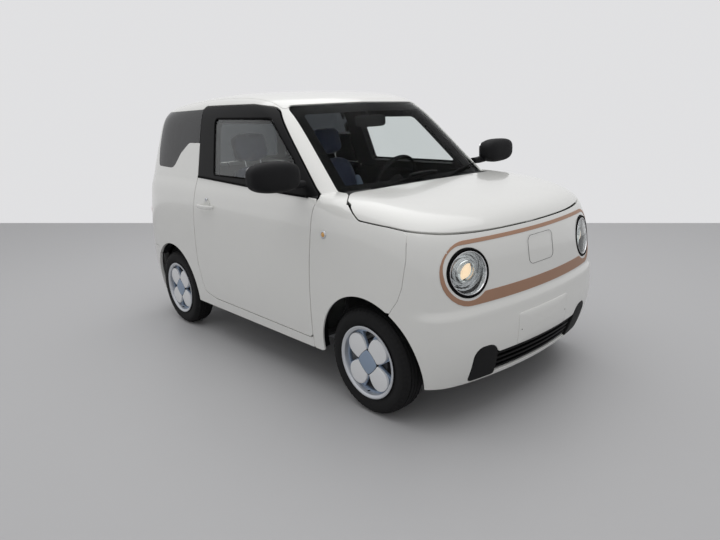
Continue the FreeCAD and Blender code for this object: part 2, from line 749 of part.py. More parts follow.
def make_hatch():
    """The rear door with its window opening."""
    low = lower_shell(0, size.hatch_wall).common(
        front_block(hatch_rear_shares, size.hatch_inner, length)
    )
    high = cabin_shell(0, size.hatch_wall).common(
        front_block(hatch_rear_shares, size.hatch_top_y, length)
    )
    right = box_between((-width, 0, 0), (0, length, 2 * height))
    half = low.fuse(high).common(right)
    return both_halves(half.cut(front_block(hatch_glass_shares, 0, length)))


def make_hatch_glass():
    window = front_block(hatch_glass_shares, size.hatch_inner / 2, length, -size.seat_gap)
    right = box_between((-width, 0, 0), (0, length, 2 * height))
    layer = cabin_shell(size.screen_inset, size.screen_inset + size.glass_wall)
    return both_halves(layer.common(window).common(right))


def make_rear_bumper():
    skin = lower_shell(0, size.panel_wall).common(box_between(
        (-width, size.rear_bumper_front + size.seat_gap, 0),
        (0, length, size.rear_bumper_top - size.panel_gap),
    ))
    return both_halves(skin.cut(arches[1]))


def tail_lamp_rod(amount=0):
    reach = size.tail_lamp_reach
    core = Part.makeCylinder(size.tail_lamp_radius + amount, reach, Vector(0, 0, -reach / 2))
    core.Placement = lamp_frame(
        -size.tail_lamp_x, size.tail_lamp_y, size.tail_lamp_z, 180 + size.tail_lamp_yaw, 0
    )
    return core


def make_tail_lamp():
    """A round lamp let into the rear quarter, following its curve."""
    return lower_shell(-size.tail_lamp_proud, size.tail_lamp_depth).common(tail_lamp_rod())


door = make_door()
add_pair("door", door)
add_pair("door_glass", make_door_glass())
add_pair("mirror", make_mirror())
tail_lamp = make_tail_lamp()
lamp_hole = tail_lamp_rod(size.seat_gap)
side_frame = max(make_side_frame().cut(lamp_hole).Solids, key=lambda piece: piece.Volume)
add_pair("side_frame", side_frame)
quarter_window = make_quarter_window()
add_part("quarter_windows", Part.makeCompound([quarter_window, mirrored(quarter_window)]))
add_pair("fender", make_fender())
add_part("front_bumper", make_bumper())
add_part("lower_grille", make_grille())
add_part("front_ring", make_ring())
add_pair("headlamp", make_headlamp())
add_part("hood", make_hood())
add_part("roof_panel", make_roof())
add_part("windshield", make_windshield())
add_part("cowl_panel", make_cowl())
add_part("tailgate", make_hatch())
add_part("tailgate_glass", make_hatch_glass())
add_part("rear_bumper", make_rear_bumper())
add_part("tail_lamps", Part.makeCompound([tail_lamp, mirrored(tail_lamp)]))


# Pieces drawn as sketches and padded, turned or cut

def origin_feature(body, role):
    return [feature for feature in body.Origin.OriginFeatures if feature.Role == role][0]


def attached_sketch(body, role, name):
    sketch = body.newObject("Sketcher::SketchObject", name)
    sketch.AttachmentSupport = [(origin_feature(body, role), "")]
    sketch.MapMode = "FlatFace"
    return sketch


def tie_point(sketch, edge, end, names):
    """Ties a sketch point to named sizes, or to an axis where the name is None."""
    for kind, name, axis in (("DistanceX", names[0], -2), ("DistanceY", names[1], -1)):
        if name:
            distance = Sketcher.Constraint(kind, -1, 1, edge, end, getattr(size, name))
            index = sketch.addConstraint(distance)
            sketch.setExpression(f"Constraints[{index}]", f"Sizes.{name}")
        else:
            sketch.addConstraint(Sketcher.Constraint("PointOnObject", edge, end, axis))


def named_point(names):
    return Vector(*[getattr(size, name) if name else 0 for name in names], 0)


def polygon_sketch(body, role, name, corners):
    """A closed polygon whose corners are pairs of named sizes."""
    sketch = attached_sketch(body, role, name)
    for i, names in enumerate(corners):
        sketch.addGeometry(Part.LineSegment(named_point(corners[i - 1]), named_point(names)))
    for i, names in enumerate(corners):
        after = (i + 1) % len(corners)
        sketch.addConstraint(Sketcher.Constraint("Coincident", i, 2, after, 1))
        tie_point(sketch, i, 2, names)
    return sketch


def circle_sketch(body, role, name, centre, radius_name):
    sketch = attached_sketch(body, role, name)
    radius = getattr(size, radius_name)
    sketch.addGeometry(Part.Circle(named_point(centre), Vector(0, 0, 1), radius))
    index = sketch.addConstraint(Sketcher.Constraint("Radius", 0, radius))
    sketch.setExpression(f"Constraints[{index}]", f"Sizes.{radius_name}")
    tie_point(sketch, 0, 3, centre)
    return sketch


def lift_sketch(sketch, name):
    sketch.setExpression("AttachmentOffset.Base.z", f"Sizes.{name}")


def new_body(label):
    body = doc.addObject("PartDesign::Body", label)
    body.Label = label
    parts.append(body)
    return body


def turned(body, sketch, name):
    feature = body.newObject("PartDesign::Revolution", name)
    feature.Profile = sketch
    feature.ReferenceAxis = (sketch, ["H_Axis"])
    feature.Angle = 360
    return feature


def padded(body, sketch, name, length_name):
    feature = body.newObject("PartDesign::Pad", name)
    feature.Profile = sketch
    feature.setExpression("Length", f"Sizes.{length_name}")
    return feature


def repeated(body, original, name, count):
    """Copies a feature round the body's X axis."""
    doc.recompute()
    pattern = body.newObject("PartDesign::PolarPattern", name)
    pattern.Originals = [original]
    pattern.Axis = (origin_feature(body, "X_Axis"), [""])
    pattern.Angle = 360
    pattern.Occurrences = count
    body.Tip = pattern
    doc.recompute()
    return pattern


def draw_tyre(body):
    profile = polygon_sketch(body, "XZ_Plane", f"{body.Label}_profile", [
        ("tyre_bead_inset", "tyre_seat_radius"), ("tyre_bead_inset", "tyre_bead_radius"),
        (None, "tyre_low_radius"), (None, "tyre_high_radius"),
        ("tyre_shoulder", "tyre_radius"), ("tyre_tread_far", "tyre_radius"),
        ("tyre_width", "tyre_high_radius"), ("tyre_width", "tyre_low_radius"),
        ("tyre_bead_far", "tyre_bead_radius"), ("tyre_bead_far", "tyre_seat_radius"),
    ])
    turned(body, profile, f"{body.Label}_turn")


def draw_rim(body):
    """A barrel and disc with four openings, four raised petals and a square centre cap."""
    name = body.Label
    profile = polygon_sketch(body, "XZ_Plane", f"{name}_profile", [
        (None, "lip_radius"), ("lip_width", "lip_radius"), ("lip_width", "rim_seat_radius"),
        ("lip_far", "rim_seat_radius"), ("lip_far", "lip_radius"), ("tyre_width", "lip_radius"),
        ("tyre_width", "lip_step_radius"), ("disc_outer", "barrel_radius"),
        ("disc_outer", "hub_bore_radius"), ("disc_inner", "hub_bore_radius"),
        ("disc_inner", "barrel_radius"), (None, "barrel_radius"),
    ])
    turned(body, profile, f"{name}_turn")
    doc.recompute()
    before = body.Shape.Volume
    opening = polygon_sketch(body, "YZ_Plane", f"{name}_opening_outline", [
        (None, "opening_inner"), ("opening_half", "opening_outer"),
        ("opening_left", "opening_outer"),
    ])
    pocket = body.newObject("PartDesign::Pocket", f"{name}_opening")
    pocket.Profile = opening
    pocket.Type = "ThroughAll"
    pocket.Reversed = True
    repeated(body, pocket, f"{name}_openings", 4)
    if body.Shape.Volume >= before:
        raise ValueError(f"{name}: the openings cut nothing")
    petal = circle_sketch(
        body, "YZ_Plane", f"{name}_petal_outline", ("petal_place", "petal_place"), "petal_radius"
    )
    lift_sketch(petal, "disc_outer")
    repeated(body, padded(body, petal, f"{name}_petal", "petal_height"), f"{name}_petals", 4)
    cap = polygon_sketch(body, "YZ_Plane", f"{name}_cap_outline", [
        ("cap_half", None), (None, "cap_half"), ("cap_left", None), (None, "cap_left"),
    ])
    lift_sketch(cap, "disc_outer")
    padded(body, cap, f"{name}_cap", "cap_height")


wheel_inner = size.wheel_outset - size.tyre_width
for end, axle in (("front", front_axle), ("rear", rear_axle)):
    for hand, side, turn in (("right", -1, 180), ("left", 1, 0)):
        place = Placement(
            Vector(side * wheel_inner, axle, axle_height), Rotation(Vector(0, 0, 1), turn)
        )
        for kind, draw in (("tyre", draw_tyre), ("rim", draw_rim)):
            body = new_body(f"{kind}_{end}_{hand}")
            draw(body)
            body.Placement = place


# Running gear

def make_knuckle():
    """The upright between two ball joints, the brake and the spindle that carries the wheel."""
    x, y = -size.kingpin_offset, front_axle
    half = size.arm_thickness / 2 + size.seat_gap
    post = rod((x, y, size.ball_low + half), (x, y, size.ball_high - half), size.upright_radius)
    brake = rod((-size.brake_inner, y, axle_height), (-size.brake_outer, y, axle_height),
                size.brake_radius)
    neck = rod((x, y, axle_height), (-size.brake_outer, y, axle_height), size.spindle_radius)
    spindle = rod((-size.brake_outer, y, axle_height), (-size.spindle_end, y, axle_height),
                  size.spindle_radius)
    return joined([post, brake, neck, spindle])


def make_front_suspension():
    """The crossmember, the arms to both ball joints of each knuckle, and the struts."""
    x, y, half = size.kingpin_offset, front_axle, size.arm_thickness / 2
    pieces = []
    for z in (size.ball_low, size.ball_high):
        inner = size.arm_inner if z == size.ball_low else size.rail_x
        arm = box_between((-x, y - size.arm_width / 2, z - half),
                          (-inner + size.seat_gap, y + size.arm_width / 2, z + half))
        pieces += [arm, rod((-x, y, z - half), (-x, y, z + half), size.arm_width / 2)]
    pieces.append(rod((-size.strut_offset, y, size.ball_high), (-size.strut_offset, y,
                       size.strut_top), size.strut_radius))
    pieces.append(rod((-size.strut_offset, y, size.spring_low), (-size.strut_offset, y,
                       size.strut_top), size.spring_radius))
    middle = box_between(
        (-size.crossmember_width / 2, y - size.crossmember_depth / 2,
         size.ball_low - size.crossmember_height / 2),
        (0, y + size.crossmember_depth / 2, size.ball_low + size.crossmember_height / 2),
    )
    hanger = box_between(
        (-size.rail_x - size.rail_width / 2 + size.panel_gap, y - size.crossmember_depth / 2,
         size.ball_low - size.crossmember_height / 2),
        (-size.rail_x + size.rail_width / 2, y + size.crossmember_depth / 2,
         size.rail_low - size.seat_gap),
    )
    return both_halves(joined(pieces + [middle, hanger]))


def make_rear_axle():
    """A twist beam with trailing arms, brakes and the spindles of the rear wheels."""
    y, z = rear_axle, axle_height
    arm = box_between(
        (-size.rear_arm_outer, y - size.beam_ahead, z - size.arm_thickness),
        (-size.rear_arm_outer + size.trailing_width, y + size.crossmember_height,
         z + size.arm_thickness),
    )
    beam_y = y - size.beam_ahead * size.beam_share
    spring_y = y - size.beam_ahead * size.spring_share
    damper_y = y - size.beam_ahead * size.damper_share
    top = size.rear_floor_height - size.seat_gap
    pieces = [
        arm,
        rod((-size.rear_arm_outer + size.seat_gap, beam_y, z), (0, beam_y, z), size.beam_radius),
        rod((-size.rear_arm_outer + size.seat_gap, y, z), (-size.spindle_end, y, z),
            size.spindle_radius),
        rod((-size.brake_inner, y, z), (-size.brake_outer, y, z), size.brake_radius),
        rod((-size.damper_x, spring_y, z), (-size.damper_x, spring_y, top),
            size.rear_spring_radius),
        rod((-size.damper_x, damper_y, z), (-size.damper_x, damper_y, top), size.damper_radius),
    ]
    return both_halves(joined(pieces))


def make_front_structure():
    """The rails, strut towers, radiator and service block under the hood."""
    y = front_axle
    rail = box_between(
        (-size.rail_x - size.rail_width / 2, size.rail_front, size.rail_low),
        (-size.rail_x + size.rail_width / 2, size.bulkhead_front - size.seat_gap,
         size.rail_low + size.rail_height),
    )
    tower = box_between(
        (-size.strut_offset - size.tower_half, y - size.tower_half,
         size.strut_top + size.seat_gap),
        (-size.rail_x + size.rail_width / 2, y + size.tower_half, size.tower_top),
    )
    wall = box_between(
        (-size.rail_x - size.rail_width / 2, y - size.tower_half, size.rail_low),
        (-size.rail_x + size.rail_width / 2, y + size.tower_half, size.tower_top),
    )
    radiator = box_between(
        (-size.rail_x, size.radiator_y, size.radiator_low),
        (0, size.radiator_y + size.radiator_depth, size.radiator_high),
    )
    service = box_between(
        (-size.service_half, y - size.service_depth / 2, size.service_low),
        (0, y + size.service_depth / 2, size.service_low + size.service_height),
    )
    bridge = box_between(
        (-size.rail_x, y - size.tower_half, size.service_low - size.rail_width),
        (0, y + size.tower_half, size.service_low),
    )
    posts = [
        box_between((-x, y, low), (-x + size.post_width, y + size.post_width, height))
        for x, y, low in (
            (size.latch_x, size.latch_y, size.radiator_low),
            (size.hinge_post_x, size.hinge_post_y, size.rail_low),
        )
    ]
    over = lower_shell(-height / 2, size.hood_wall + size.seat_gap)
    posts = [post.cut(over) for post in posts]
    return both_halves(joined([rail, tower, wall, radiator, service, bridge] + posts))


def make_floor():
    """The bulkhead, toe board, floor and raised rear floor, with the rear wheel houses."""
    low, thick = size.floor_height, size.floor_thickness
    high = size.rear_floor_height
    line = [
        (size.bulkhead_front, size.bulkhead_top), (size.bulkhead_front, size.toe_height),
        (size.floor_front, low), (size.floor_rear, low), (size.rear_floor_front, high),
        (size.rear_floor_end, high), (size.rear_floor_end, high + thick),
        (size.rear_floor_front - thick / 2, high + thick), (size.floor_rear - thick / 2,
        low + thick), (size.floor_front + thick / 2, low + thick),
        (size.bulkhead_front + thick, size.toe_height + thick / 2),
        (size.bulkhead_front + thick, size.bulkhead_top),
    ]
    points = [Vector(0, y, z) for y, z in line]
    pan = Part.Face(Part.makePolygon(points + points[:1])).extrude(
        Vector(-size.floor_half, 0, 0)
    )
    narrow = box_between(
        (-width, size.rear_floor_front + thick, 0), (-size.rear_floor_half, length, height)
    )
    front_narrow = box_between(
        (-width, -length, 0), (-size.rear_floor_half, size.floor_front - thick, height)
    )
    outer = Part.makeCylinder(
        size.arch_radius + size.wheel_house_wall, size.floor_half - size.rear_floor_half,
        Vector(-size.floor_half, rear_axle, size.arch_height), Vector(1, 0, 0),
    )
    outer.translate(Vector(size.wheel_house_wall, 0, 0))
    house = outer.cut(arches[1]).common(
        box_between((-size.floor_half, 0, high), (0, length, height))
    )
    glass_foot = screen_front_shares[0][1] * height
    shelf = box_between(
        (-size.shelf_half, size.shelf_front, size.shelf_height),
        (0, size.bulkhead_front + thick, glass_foot - size.seat_gap),
    )
    ledge = box_between(
        (-size.ledge_half, size.ledge_front, size.shelf_height),
        (0, size.ledge_rear, size.belt_height),
    )
    cowl_under = size.cowl_depth + size.panel_wall + size.seat_gap
    screen_foot = cabin_shell(-size.panel_gap, size.side_wall).common(
        box_between((-width, -length, glass_foot - size.seat_gap), (width, 0, height))
    )
    shelf = shelf.fuse(ledge.cut(screen_foot)).cut(lower_shell(-size.side_wall, cowl_under))
    riser = box_between(
        (-size.shelf_half, size.bulkhead_front, size.bulkhead_top - thick),
        (0, size.bulkhead_front + thick, size.shelf_height + thick / 2),
    )
    return both_halves(joined([pan.cut(narrow).cut(front_narrow), house, riser, shelf]))


# Cabin

def leaning_box(wide, thickness, low, high, y, lean, radius):
    """An upright cushion, leaning back from its foot."""
    pad = box_between((-wide / 2, 0, 0), (wide / 2, thickness, high - low))
    pad = pad.makeFillet(radius, pad.Edges)
    pad.Placement = Placement(Vector(0, y, low), Rotation(Vector(1, 0, 0), -lean))
    return pad


def make_seat(x):
    """A front seat: base, cushion, leaning back and headrest."""
    gap = size.seat_gap
    soft = size.cushion_radius
    base = box_between(
        (-size.seat_width * size.seat_base_share, size.seat_front + soft, size.floor_height +
         size.floor_thickness + gap),
        (size.seat_width * size.seat_base_share, size.seat_rear, size.seat_low + soft),
    )
    cushion = box_between(
        (-size.seat_width / 2, size.seat_front, size.seat_low),
        (size.seat_width / 2, size.seat_rear, size.seat_high),
    )
    cushion = cushion.makeFillet(soft, cushion.Edges)
    back = leaning_box(size.seat_width, size.back_thickness, size.seat_high - soft,
                       size.back_top, size.seat_rear - size.back_thickness / 2,
                       size.back_lean, soft)
    lean = math.radians(size.back_lean)
    rise = size.back_top - size.seat_high + soft + size.head_gap
    foot_y = size.seat_rear - size.back_thickness / 2 + rise * math.sin(lean)
    foot_z = size.seat_high - soft + rise * math.cos(lean)
    head = leaning_box(size.head_width, size.head_depth, foot_z, foot_z + size.head_height,
                       foot_y, size.back_lean, soft)
    post_y = foot_y + size.head_depth * size.head_post_share
    along = Vector(0, math.sin(lean), 1) * size.head_gap
    posts = [
        rod(Vector(px, post_y, foot_z) - along * 2, Vector(px, post_y, foot_z) + along,
            size.stalk_radius)
        for px in (-size.head_width / 4, size.head_width / 4)
    ]
    seat = joined([base, cushion, back, head] + posts)
    seat.translate(Vector(x, 0, 0))
    return seat


def make_bench():
    cushion = box_between(
        (-size.bench_width / 2, size.bench_front, size.rear_floor_height +
         size.floor_thickness + size.seat_gap),
        (size.bench_width / 2, size.bench_rear, size.bench_high),
    )
    cushion = cushion.makeFillet(size.cushion_radius, cushion.Edges)
    back = leaning_box(size.bench_width, size.bench_back_thickness,
                       size.bench_high - size.cushion_radius, size.bench_back_top,
                       size.bench_rear - size.bench_back_thickness, size.bench_lean,
                       size.cushion_radius)
    return cushion.fuse(back)


def make_dashboard():
    """The instrument panel with a screen pod and the steering column."""
    line = [
        (size.dash_front, size.dash_high), (size.dash_rear - size.dash_slope, size.dash_high),
        (size.dash_rear, size.dash_high - size.dash_slope), (size.dash_rear,
        size.dash_low + size.dash_slope), (size.dash_front + size.dash_slope, size.dash_low),
        (size.dash_front, size.dash_low),
    ]
    points = [Vector(-size.dash_half, y, z) for y, z in line]
    panel = Part.Face(Part.makePolygon(points + points[:1])).extrude(
        Vector(2 * size.dash_half, 0, 0)
    )
    tilt = math.radians(size.column_tilt)
    along = Vector(0, math.cos(tilt), math.sin(tilt))
    hub = Vector(size.steer_x, size.steer_y, size.steer_z)
    start = hub - along * size.column_length
    end = hub - along * (size.boss_depth + size.seat_gap)
    column = Part.makeCylinder(size.column_radius, (end - start).Length, start, along)
    return panel.fuse(column)


def make_steering_wheel():
    tube = size.wheel_tube_radius
    rim = Part.makeTorus(size.wheel_rim_radius, tube)
    boss = Part.makeCylinder(size.boss_radius, size.boss_depth, Vector(0, 0, -size.boss_depth))
    spokes = [
        Part.makeBox(size.wheel_rim_radius, size.spoke_width, tube,
                     Vector(0, -size.spoke_width / 2, -tube / 2)).rotated(
            Vector(0, 0, 0), Vector(0, 0, 1), angle)
        for angle in (0, 180, 270)
    ]
    wheel = joined([rim, boss] + spokes)
    wheel.Placement = Placement(
        Vector(size.steer_x, size.steer_y, size.steer_z),
        Rotation(Vector(1, 0, 0), size.column_tilt - 90),
    )
    return wheel


def make_inner_mirror():
    half_width, half_height = size.inner_mirror_width / 2, size.inner_mirror_height / 2
    y, z = size.inner_mirror_y, size.inner_mirror_z
    glass = box_between((-half_width, y, z - half_height),
                        (half_width, y + size.inner_mirror_depth, z + half_height))
    glass = glass.makeFillet(size.inner_mirror_depth * size.mirror_round_share, glass.Edges)
    stalk = rod((0, y + size.inner_mirror_depth / 2, z), (0, y + size.stalk_lean,
                 z + size.stalk_rise), size.stalk_radius)
    above = cabin_shell(-size.panel_gap, size.screen_inset + size.glass_wall + size.seat_gap)
    pieces = glass.fuse(stalk).cut(both_halves(above)).Solids
    return min(pieces, key=lambda piece: piece.BoundBox.ZMin)


add_pair("knuckle", make_knuckle())
add_part("front_suspension", make_front_suspension())
add_part("rear_axle", make_rear_axle())
add_part("front_structure", make_front_structure())
add_part("floor_pan", make_floor())
add_part("front_seat_right", make_seat(-size.seat_x))
add_part("front_seat_left", make_seat(size.seat_x))
add_part("rear_bench", make_bench())
add_part("dashboard", make_dashboard())
add_part("steering_wheel", make_steering_wheel())
add_part("inner_mirror", make_inner_mirror())


def add_block(label, low_names, size_names):
    """A plain block bound to the sheet: its low corner, then its three sides."""
    block = doc.addObject("Part::Box", label)
    block.Label = label
    for side, name in zip(("Length", "Width", "Height"), size_names):
        block.setExpression(side, name)
    for axis, name in zip("xyz", low_names):
        block.setExpression(f"Placement.Base.{axis}", name)
    parts.append(block)


add_block(
    "battery_pack",
    ("-Sizes.battery_width / 2", "Sizes.battery_y - Sizes.battery_length / 2",
     "Sizes.battery_low"),
    ("Sizes.battery_width", "Sizes.battery_length", "Sizes.battery_height"),
)
add_block(
    "motor_unit",
    ("-Sizes.motor_width / 2", "Sizes.motor_y - Sizes.motor_length / 2", "Sizes.motor_low"),
    ("Sizes.motor_width", "Sizes.motor_length", "Sizes.motor_height"),
)

doc.recompute()
os.makedirs("parts", exist_ok=True)
for item in doc.Objects:
    if "Invalid" in item.State or "Error" in item.State:
        raise ValueError(f"{item.Label} failed")
for part in parts:
    if part.Shape.isNull() or not part.Shape.isValid():
        raise ValueError(f"{part.Label} has no valid shape")
for part in parts:
    part.Shape.exportStep(f"parts/{part.Label}.step")
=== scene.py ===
import json
import math
import bmesh
import bpy
import numpy as np
from mathutils import Matrix, Vector


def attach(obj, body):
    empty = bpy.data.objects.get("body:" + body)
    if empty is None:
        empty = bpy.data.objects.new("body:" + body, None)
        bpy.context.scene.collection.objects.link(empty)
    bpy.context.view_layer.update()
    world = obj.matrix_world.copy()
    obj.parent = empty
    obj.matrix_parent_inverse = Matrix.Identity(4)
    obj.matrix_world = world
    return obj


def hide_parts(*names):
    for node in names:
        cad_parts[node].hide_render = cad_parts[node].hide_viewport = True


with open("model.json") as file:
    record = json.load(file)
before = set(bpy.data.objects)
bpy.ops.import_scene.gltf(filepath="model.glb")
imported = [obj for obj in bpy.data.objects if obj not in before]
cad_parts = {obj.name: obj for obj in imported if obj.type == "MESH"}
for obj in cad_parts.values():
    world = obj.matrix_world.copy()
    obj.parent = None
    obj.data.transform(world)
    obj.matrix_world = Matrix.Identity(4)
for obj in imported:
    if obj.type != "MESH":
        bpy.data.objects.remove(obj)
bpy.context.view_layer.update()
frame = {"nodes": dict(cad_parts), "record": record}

nodes = frame["nodes"]

# Body form
form = {
    "length": 3.065, "width": 1.522, "height": 1.6, "skirt": 0.2, "waist": 0.62,
    "sideTurn": 0.026, "sideReach": 0.42, "noseLean": 0.045, "chinTuck": 0.06, "noseBow": 0.12,
    "tailLean": 0.04, "tailTuck": 0.05, "tailBow": 0.05, "bumperHeight": 0.45,
    "leanReach": 0.45, "chinReach": 0.25, "cornerPower": 11, "belt": 1.058, "beltFront": -0.716,
    "beltRise": 0.046, "beltReach": 1.207, "hoodStart": -0.76, "hoodDrop": 0.087,
    "hoodReach": 0.772, "hoodPower": 1.7, "hoodCrown": 0.012, "shoulderPower": 14,
    "hoodSpine": 0.74, "glassBase": 1.02, "glassHalf": 0.724, "tumble": 0.24, "glassLow": 0.96,
    "roofSpine": 0.35, "screenBase": -0.8, "screenHeight": 1.04, "screenRake": 1.087,
    "screenBow": 0.062, "hatchBase": 1.44, "hatchRake": 0.22, "hatchBow": 0.04,
    "cabinMiddle": 0.3, "cabinPower": 8, "cabinRearPower": 12, "roofCrest": 0.4, "roofFrontReach": 0.69,
    "roofFrontDrop": 0.08, "roofRearReach": 0.85, "roofRearDrop": 0.045, "roofCrown": 0.03,
    "roofPower": 12, "sideJoin": 0.016, "sideLow": 1.03,
    "ledge": 0.0098, "ledgeTop": 0.59, "ledgeHigh": 0.055, "ledgeStart": -1.27, "ledgeFade": 0.16,
}
carLength, carWidth, carHeight = form["length"], form["width"], form["height"]


# The ray at an angle meets |c|^p + |s|^p = 1 at this point
def squircle(angle, power):
    c, s = np.cos(angle), np.sin(angle)
    radius = (np.abs(c) ** power + np.abs(s) ** power) ** (-1 / power)
    return radius * c, radius * s


# Plan of the lower body at height z: a superellipse whose half width and reach bend with z
def lowerSection(turn, z, depth):
    f = form
    along, across = squircle(turn, f["cornerPower"])
    half = carWidth / 2 - depth - f["sideTurn"] * (np.abs(z - f["waist"]) / f["sideReach"]) ** 2
    above = np.maximum(0, z - f["bumperHeight"]) / f["leanReach"]
    below = np.maximum(0, f["bumperHeight"] - z) / f["chinReach"]
    nose = along > 0
    lean = np.where(nose, f["noseLean"], f["tailLean"])
    tuck = np.where(nose, f["chinTuck"], f["tailTuck"])
    bow = np.where(nose, f["noseBow"], f["tailBow"])
    reach = carLength / 2 - depth - lean * above ** 1.5 - tuck * below ** 2 - bow * across ** 2
    return -half * across, -reach * along


# Height of the belt and hood: a rising line, a falling power curve and a parabola across
def lowerTop(x, y):
    f = form
    belt = f["belt"] + f["beltRise"] * (y - f["beltFront"]) / f["beltReach"]
    fall = np.maximum(0, f["hoodStart"] - y) / f["hoodReach"]
    return belt - f["hoodDrop"] * fall ** f["hoodPower"] + f["hoodCrown"] * (1 - (2 * x / carWidth) ** 2)


# Plan of the glasshouse at height z, leaning in as it rises, bowed at the screen and hatch
def cabinSection(turn, z, depth):
    f = form
    along, across = squircle(turn, np.where(np.cos(turn) > 0, f["cabinPower"], f["cabinRearPower"]))
    half = f["glassHalf"] - f["tumble"] * (z - f["glassBase"]) - depth
    rise = z - f["screenHeight"]
    face = f["screenBase"] + f["screenRake"] * rise + depth * math.hypot(1, f["screenRake"])
    front = f["cabinMiddle"] - face - f["screenBow"] * across ** 2
    rear = f["hatchBase"] - f["hatchRake"] * rise - depth - f["cabinMiddle"] - f["hatchBow"] * across ** 2
    return -half * across, f["cabinMiddle"] - np.where(along > 0, front, rear) * along


# Height of the roof: parabolas before and behind its crest, and one across
def cabinTop(x, y):
    f = form
    ahead = np.maximum(0, f["roofCrest"] - y) / f["roofFrontReach"]
    behind = np.maximum(0, y - f["roofCrest"]) / f["roofRearReach"]
    drop = f["roofFrontDrop"] * ahead ** 2 + f["roofRearDrop"] * behind ** 2
    return carHeight - drop - f["roofCrown"] * (x / f["glassHalf"]) ** 2


# The section shrinks towards a spine by the squircle of the rise, while it climbs to the top
def skinPoint(section, top, base, power, middle, reach, turn, rise, depth):
    out, up = squircle(rise, power)
    spine = middle + reach * (2 * turn / math.pi - 1)
    z = base + (carHeight - base) * up / 2
    for again in range(5):
        x, y = section(turn, z, depth)
        x, y = out * x, spine + out * (y - spine)
        z = base + (top(x, y) - depth - base) * up
    return np.stack([x, y, z], -1)


# A point of the lower body, and one of the glasshouse
def lowerPoint(turn, rise, depth=0.0):
    return skinPoint(lowerSection, lowerTop, form["skirt"], form["shoulderPower"],
                     0, form["hoodSpine"], turn, rise, depth)


def cabinPoint(turn, rise, depth=0.0):
    return skinPoint(cabinSection, cabinTop, form["glassLow"], form["roofPower"],
                     form["cabinMiddle"], form["roofSpine"], turn, rise, depth)


# Half width of the glasshouse at a height, from its plan superellipse
def cabinSideX(y, z, depth=0.0):
    f = form
    half = f["glassHalf"] - f["tumble"] * (z - f["glassBase"]) - depth
    rise = z - f["screenHeight"]
    front = f["cabinMiddle"] - f["screenBase"] - f["screenRake"] * rise - f["screenBow"]
    rear = f["hatchBase"] - f["hatchRake"] * rise - f["cabinMiddle"] - f["hatchBow"]
    ahead = y < f["cabinMiddle"]
    along = np.clip(np.where(ahead, (f["cabinMiddle"] - y) / front, (y - f["cabinMiddle"]) / rear), 0, 1)
    power = np.where(ahead, f["cabinPower"], f["cabinRearPower"])
    return half * (1 - along ** power) ** (1 / power)


# The larger of two widths, rounded over a short reach where they cross
def widest(a, b):
    reach = form["sideJoin"]
    return np.maximum(a, b) + np.maximum(reach - np.abs(a - b), 0) ** 2 / (4 * reach)


# The side walls: the lower body up to the belt, carried out to the glasshouse where that is wider
def sidePoint(turn, rise, depth=0.0):
    points = lowerPoint(turn, rise, depth)
    drop = 2 * np.maximum(form["sideLow"] - points[..., 2], 0) ** 2
    wall = cabinSideX(points[..., 1], points[..., 2], depth) - drop
    points[..., 0] = -widest(np.abs(points[..., 0]), wall)
    return points


# A cubic that goes from 0 to 1 without a corner: 3 t squared less 2 t cubed
def smoothStep(t):
    t = np.clip(t, 0, 1)
    return t * t * (3 - 2 * t)


# How far the lower part of the front bumper stands out: a smooth step down its height
def noseLedge(y, z):
    f = form
    down = smoothStep((f["ledgeTop"] - z) / f["ledgeHigh"])
    return f["ledge"] * down * smoothStep((f["ledgeStart"] - y) / f["ledgeFade"])


# The lower body with the bumper's ledge standing out of it
def nosePoint(turn, rise, depth=0.0):
    points = lowerPoint(turn, rise, depth)
    return lowerPoint(turn, rise, depth - noseLedge(points[..., 1], points[..., 2]))


# Unit normal of a skin: the cross product of its two tangents
def skinNormal(place, turn, rise, depth):
    step = 1e-4
    turn = np.clip(turn, 0.004, math.pi - 0.004)
    rise = np.clip(rise, 0.002, math.pi / 2 - 0.004)
    alongTurn = place(turn + step, rise, depth) - place(turn - step, rise, depth)
    alongRise = place(turn, rise + step, depth) - place(turn, rise - step, depth)
    normal = np.cross(alongRise, alongTurn)
    return normal / np.linalg.norm(normal, axis=1, keepdims=True)


# Angles that are evenly spaced along the curve that a function draws from 0 to end
def evenAngles(curve, end, cell):
    fine = np.linspace(0, end, 2000)
    steps = np.linalg.norm(np.diff(curve(fine), axis=0), axis=1)
    far = np.concatenate([[0], np.cumsum(steps)])
    return np.interp(np.linspace(0, far[-1], int(far[-1] / cell) + 1), far, fine)


# Outlines
# Corners of a shape moved outwards by an amount along the mitre of its two sides
def grownCorners(corners, amount):
    points = np.array([c[:2] for c in corners])
    ahead = np.roll(points, -1, 0) - points
    area = np.sum(points[:, 0] * np.roll(points[:, 1], -1) - np.roll(points[:, 0], -1) * points[:, 1])
    turn = math.copysign(1, area)
    sides = np.stack([ahead[:, 1], -ahead[:, 0]], 1)
    sides = sides / np.linalg.norm(sides, axis=1, keepdims=True) * turn
    moved = []
    for i, (a, b, radius) in enumerate(corners):
        before, after = sides[i - 1], sides[i]
        step = (before + after) * (amount / (1 + before @ after))
        cross = (before[0] * after[1] - before[1] * after[0]) * turn
        moved.append((a + step[0], b + step[1], max(radius + (amount if cross > 0 else -amount), 0.0003)))
    return moved


